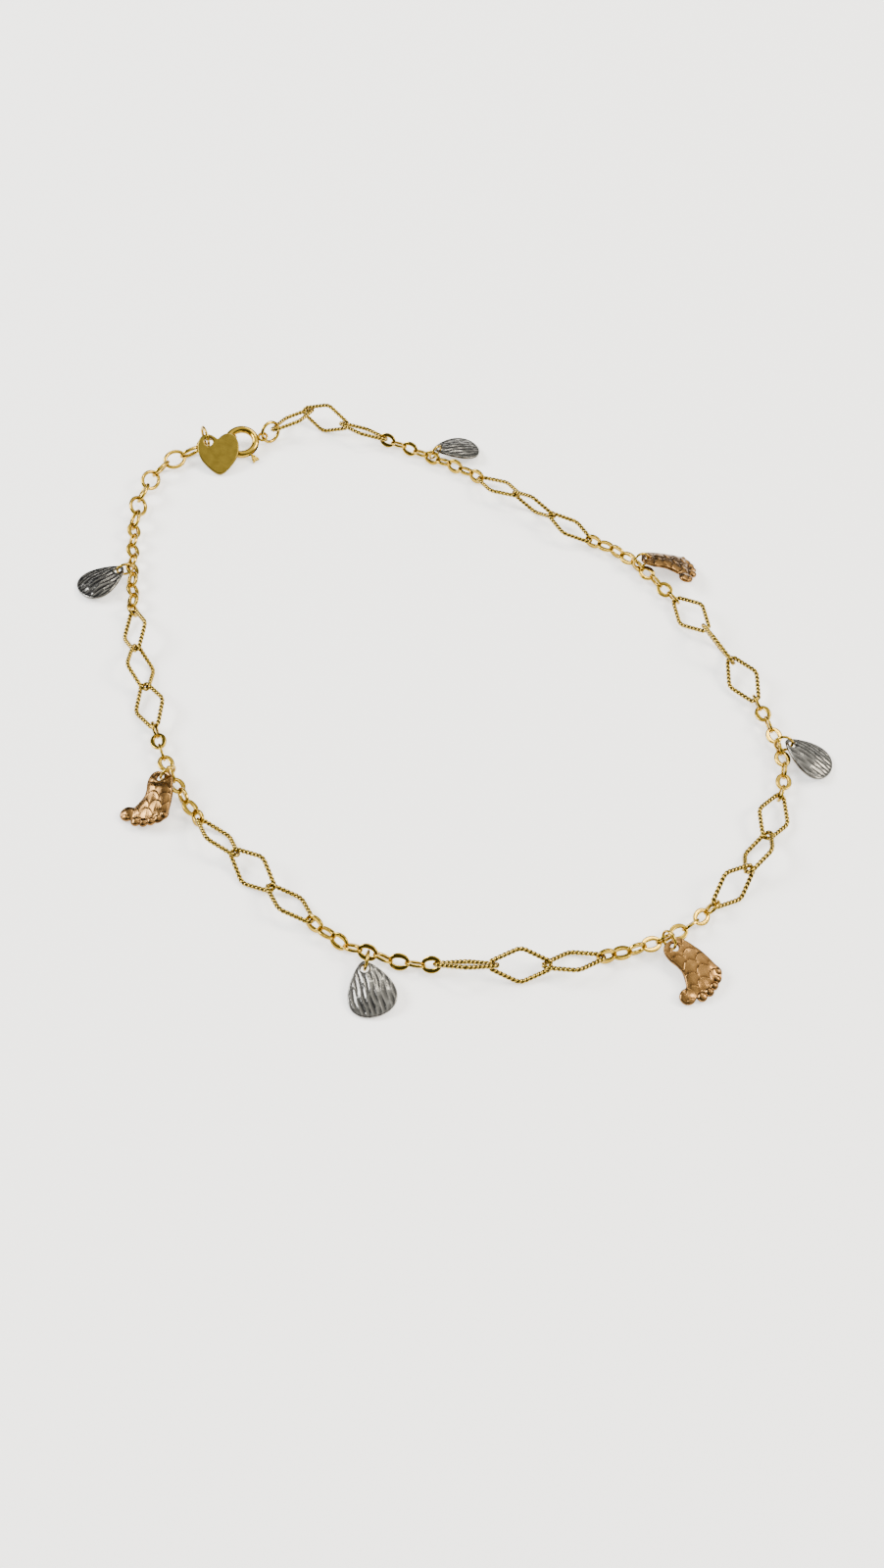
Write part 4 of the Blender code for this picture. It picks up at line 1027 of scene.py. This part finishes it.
link = [link for link in links if link["run"] == "extender"][-2]
ring, hold = hangingRing(link, heart["heading"], 0.0, heart["ringDrop"], *rings["heart"])
piece = makePiece("heartRing", [ringShell(*rings["heart"], ring)], metals["polishedYellowGold"],
                  stands=["heart_ring"])
verts, faces, hole = heartPlate()
right = roundRing(heart["turnedRight"], 1.0)
back = np.cross(up, right)
low, high = 0.0, 1.4
for _ in range(30):
    slope = (low + high) / 2
    place = axesFrom((0, 0, 0), right, back * math.cos(slope) + up * math.sin(slope))
    place[:3, 3] = hold - place[:3, :3] @ hole
    if placed(place, verts)[:, 2].min() > heart["clearance"]:
        low = slope
    else:
        high = slope
piece = makePiece("heartTag", [(placed(place, verts), faces)], metals["satinYellowGold"],
                  stands=["heart_tag"])
print("heart ready")


# Floor, light and camera

studio = {"floor": "#F3F1EC", "floorSize": 3.0, "floorGlow": 1.2,
          # the room is brightest high on the right and darkens away from there
          "bright": "#FFFFFD", "dark": "#3A3E42", "strength": 2.1,
          "brightest": (0.43, 0.18, 0.885), "falloff": (0.45, 1.0),
          # where each window is, its width and height, how brightly it glows and its tint
          "windows": [("leftWindow", (-1.00, 0.15, 0.72), 0.70, 0.45, 29.0, "#F6F9FF"),
                      ("rightWindow", (0.98, 0.10, 0.80), 0.50, 0.45, 26.0, "#FFF6EA"),
                      ("farWindow", (0.12, 0.66, 1.12), 0.55, 0.15, 22.0, "#FFFBF2")]}

mesh = bpy.data.meshes.new("floor")
half = studio["floorSize"] / 2
mesh.from_pydata([(-half, -half, 0), (half, -half, 0), (half, half, 0), (-half, half, 0)], [],
                 [(0, 1, 2, 3)])
floor = bpy.data.objects.new("floor", mesh)
bpy.context.collection.objects.link(floor)
floor.location.z = -0.00002
material = bpy.data.materials.new("mattPaper")     # card on a light table: pale, without shine
material.use_nodes = True
shader = material.node_tree.nodes["Principled BSDF"]
shader.inputs["Base Color"].default_value = hexColour(studio["floor"])
shader.inputs["Roughness"].default_value = 0.9
shader.inputs["Emission Color"].default_value = hexColour(studio["floor"])
shader.inputs["Emission Strength"].default_value = studio["floorGlow"]
mesh.materials.append(material)

world = bpy.data.worlds.new("softRoom")
bpy.context.scene.world = world
world.use_nodes = True
tree = world.node_tree
direction = addNode(tree, "ShaderNodeTexCoord").outputs["Generated"]
facing = addNode(tree, "ShaderNodeVectorMath", {"operation": "DOT_PRODUCT"},
                 {0: direction, 1: studio["brightest"]})
rise = addNode(tree, "ShaderNodeMapRange", {"interpolation_type": "SMOOTHSTEP"},
               {"Value": facing.outputs["Value"], "From Min": studio["falloff"][0],
                "From Max": studio["falloff"][1]})
sky = addNode(tree, "ShaderNodeMix", {"data_type": "RGBA"},
              {"Factor": rise.outputs["Result"], "A": hexColour(studio["dark"]),
               "B": hexColour(studio["bright"])})
background = tree.nodes["Background"]
background.inputs["Strength"].default_value = studio["strength"]
tree.links.new(sky.outputs["Result"], background.inputs["Color"])

for name, spot, wide, tall, glow, tint in studio["windows"]:
    lamp = bpy.data.lights.new(name, "AREA")
    lamp.shape, lamp.size, lamp.size_y = "RECTANGLE", wide, tall
    lamp.energy, lamp.color = glow * math.pi * wide * tall, hexColour(tint)[:3]
    holder = bpy.data.objects.new(name, lamp)
    bpy.context.collection.objects.link(holder)
    spot = np.array(spot)
    aim = axesFrom(spot, np.cross(up, spot), np.cross(spot, np.cross(up, spot)))
    holder.matrix_world = Matrix(aim.tolist())

# the photograph looks down steeply from the front, with the camera rolled a little
view = {"place": (0.00079088, -0.11230689, 0.133427), "pitch": 53.6, "roll": 4.0}
pitch, roll = math.radians(view["pitch"]), math.radians(view["roll"])
forward = np.array([0.0, math.cos(pitch), -math.sin(pitch)])
level, upright = np.array([1.0, 0.0, 0.0]), np.array([0.0, math.sin(pitch), math.cos(pitch)])
imageRight = math.cos(roll) * level + math.sin(roll) * upright
imageUp = -math.sin(roll) * level + math.cos(roll) * upright
matrix = np.eye(4)
matrix[:3, 0], matrix[:3, 1], matrix[:3, 2], matrix[:3, 3] = (imageRight, imageUp, -forward,
                                                              view["place"])
lens = bpy.data.cameras.new("camera")
lens.sensor_fit, lens.sensor_height, lens.lens, lens.clip_start = "VERTICAL", 36.0, 36.0, 0.001
camera = bpy.data.objects.new("camera", lens)
camera.matrix_world = Matrix(matrix.tolist())
bpy.context.collection.objects.link(camera)
bpy.context.scene.camera = camera

print("scene ready")
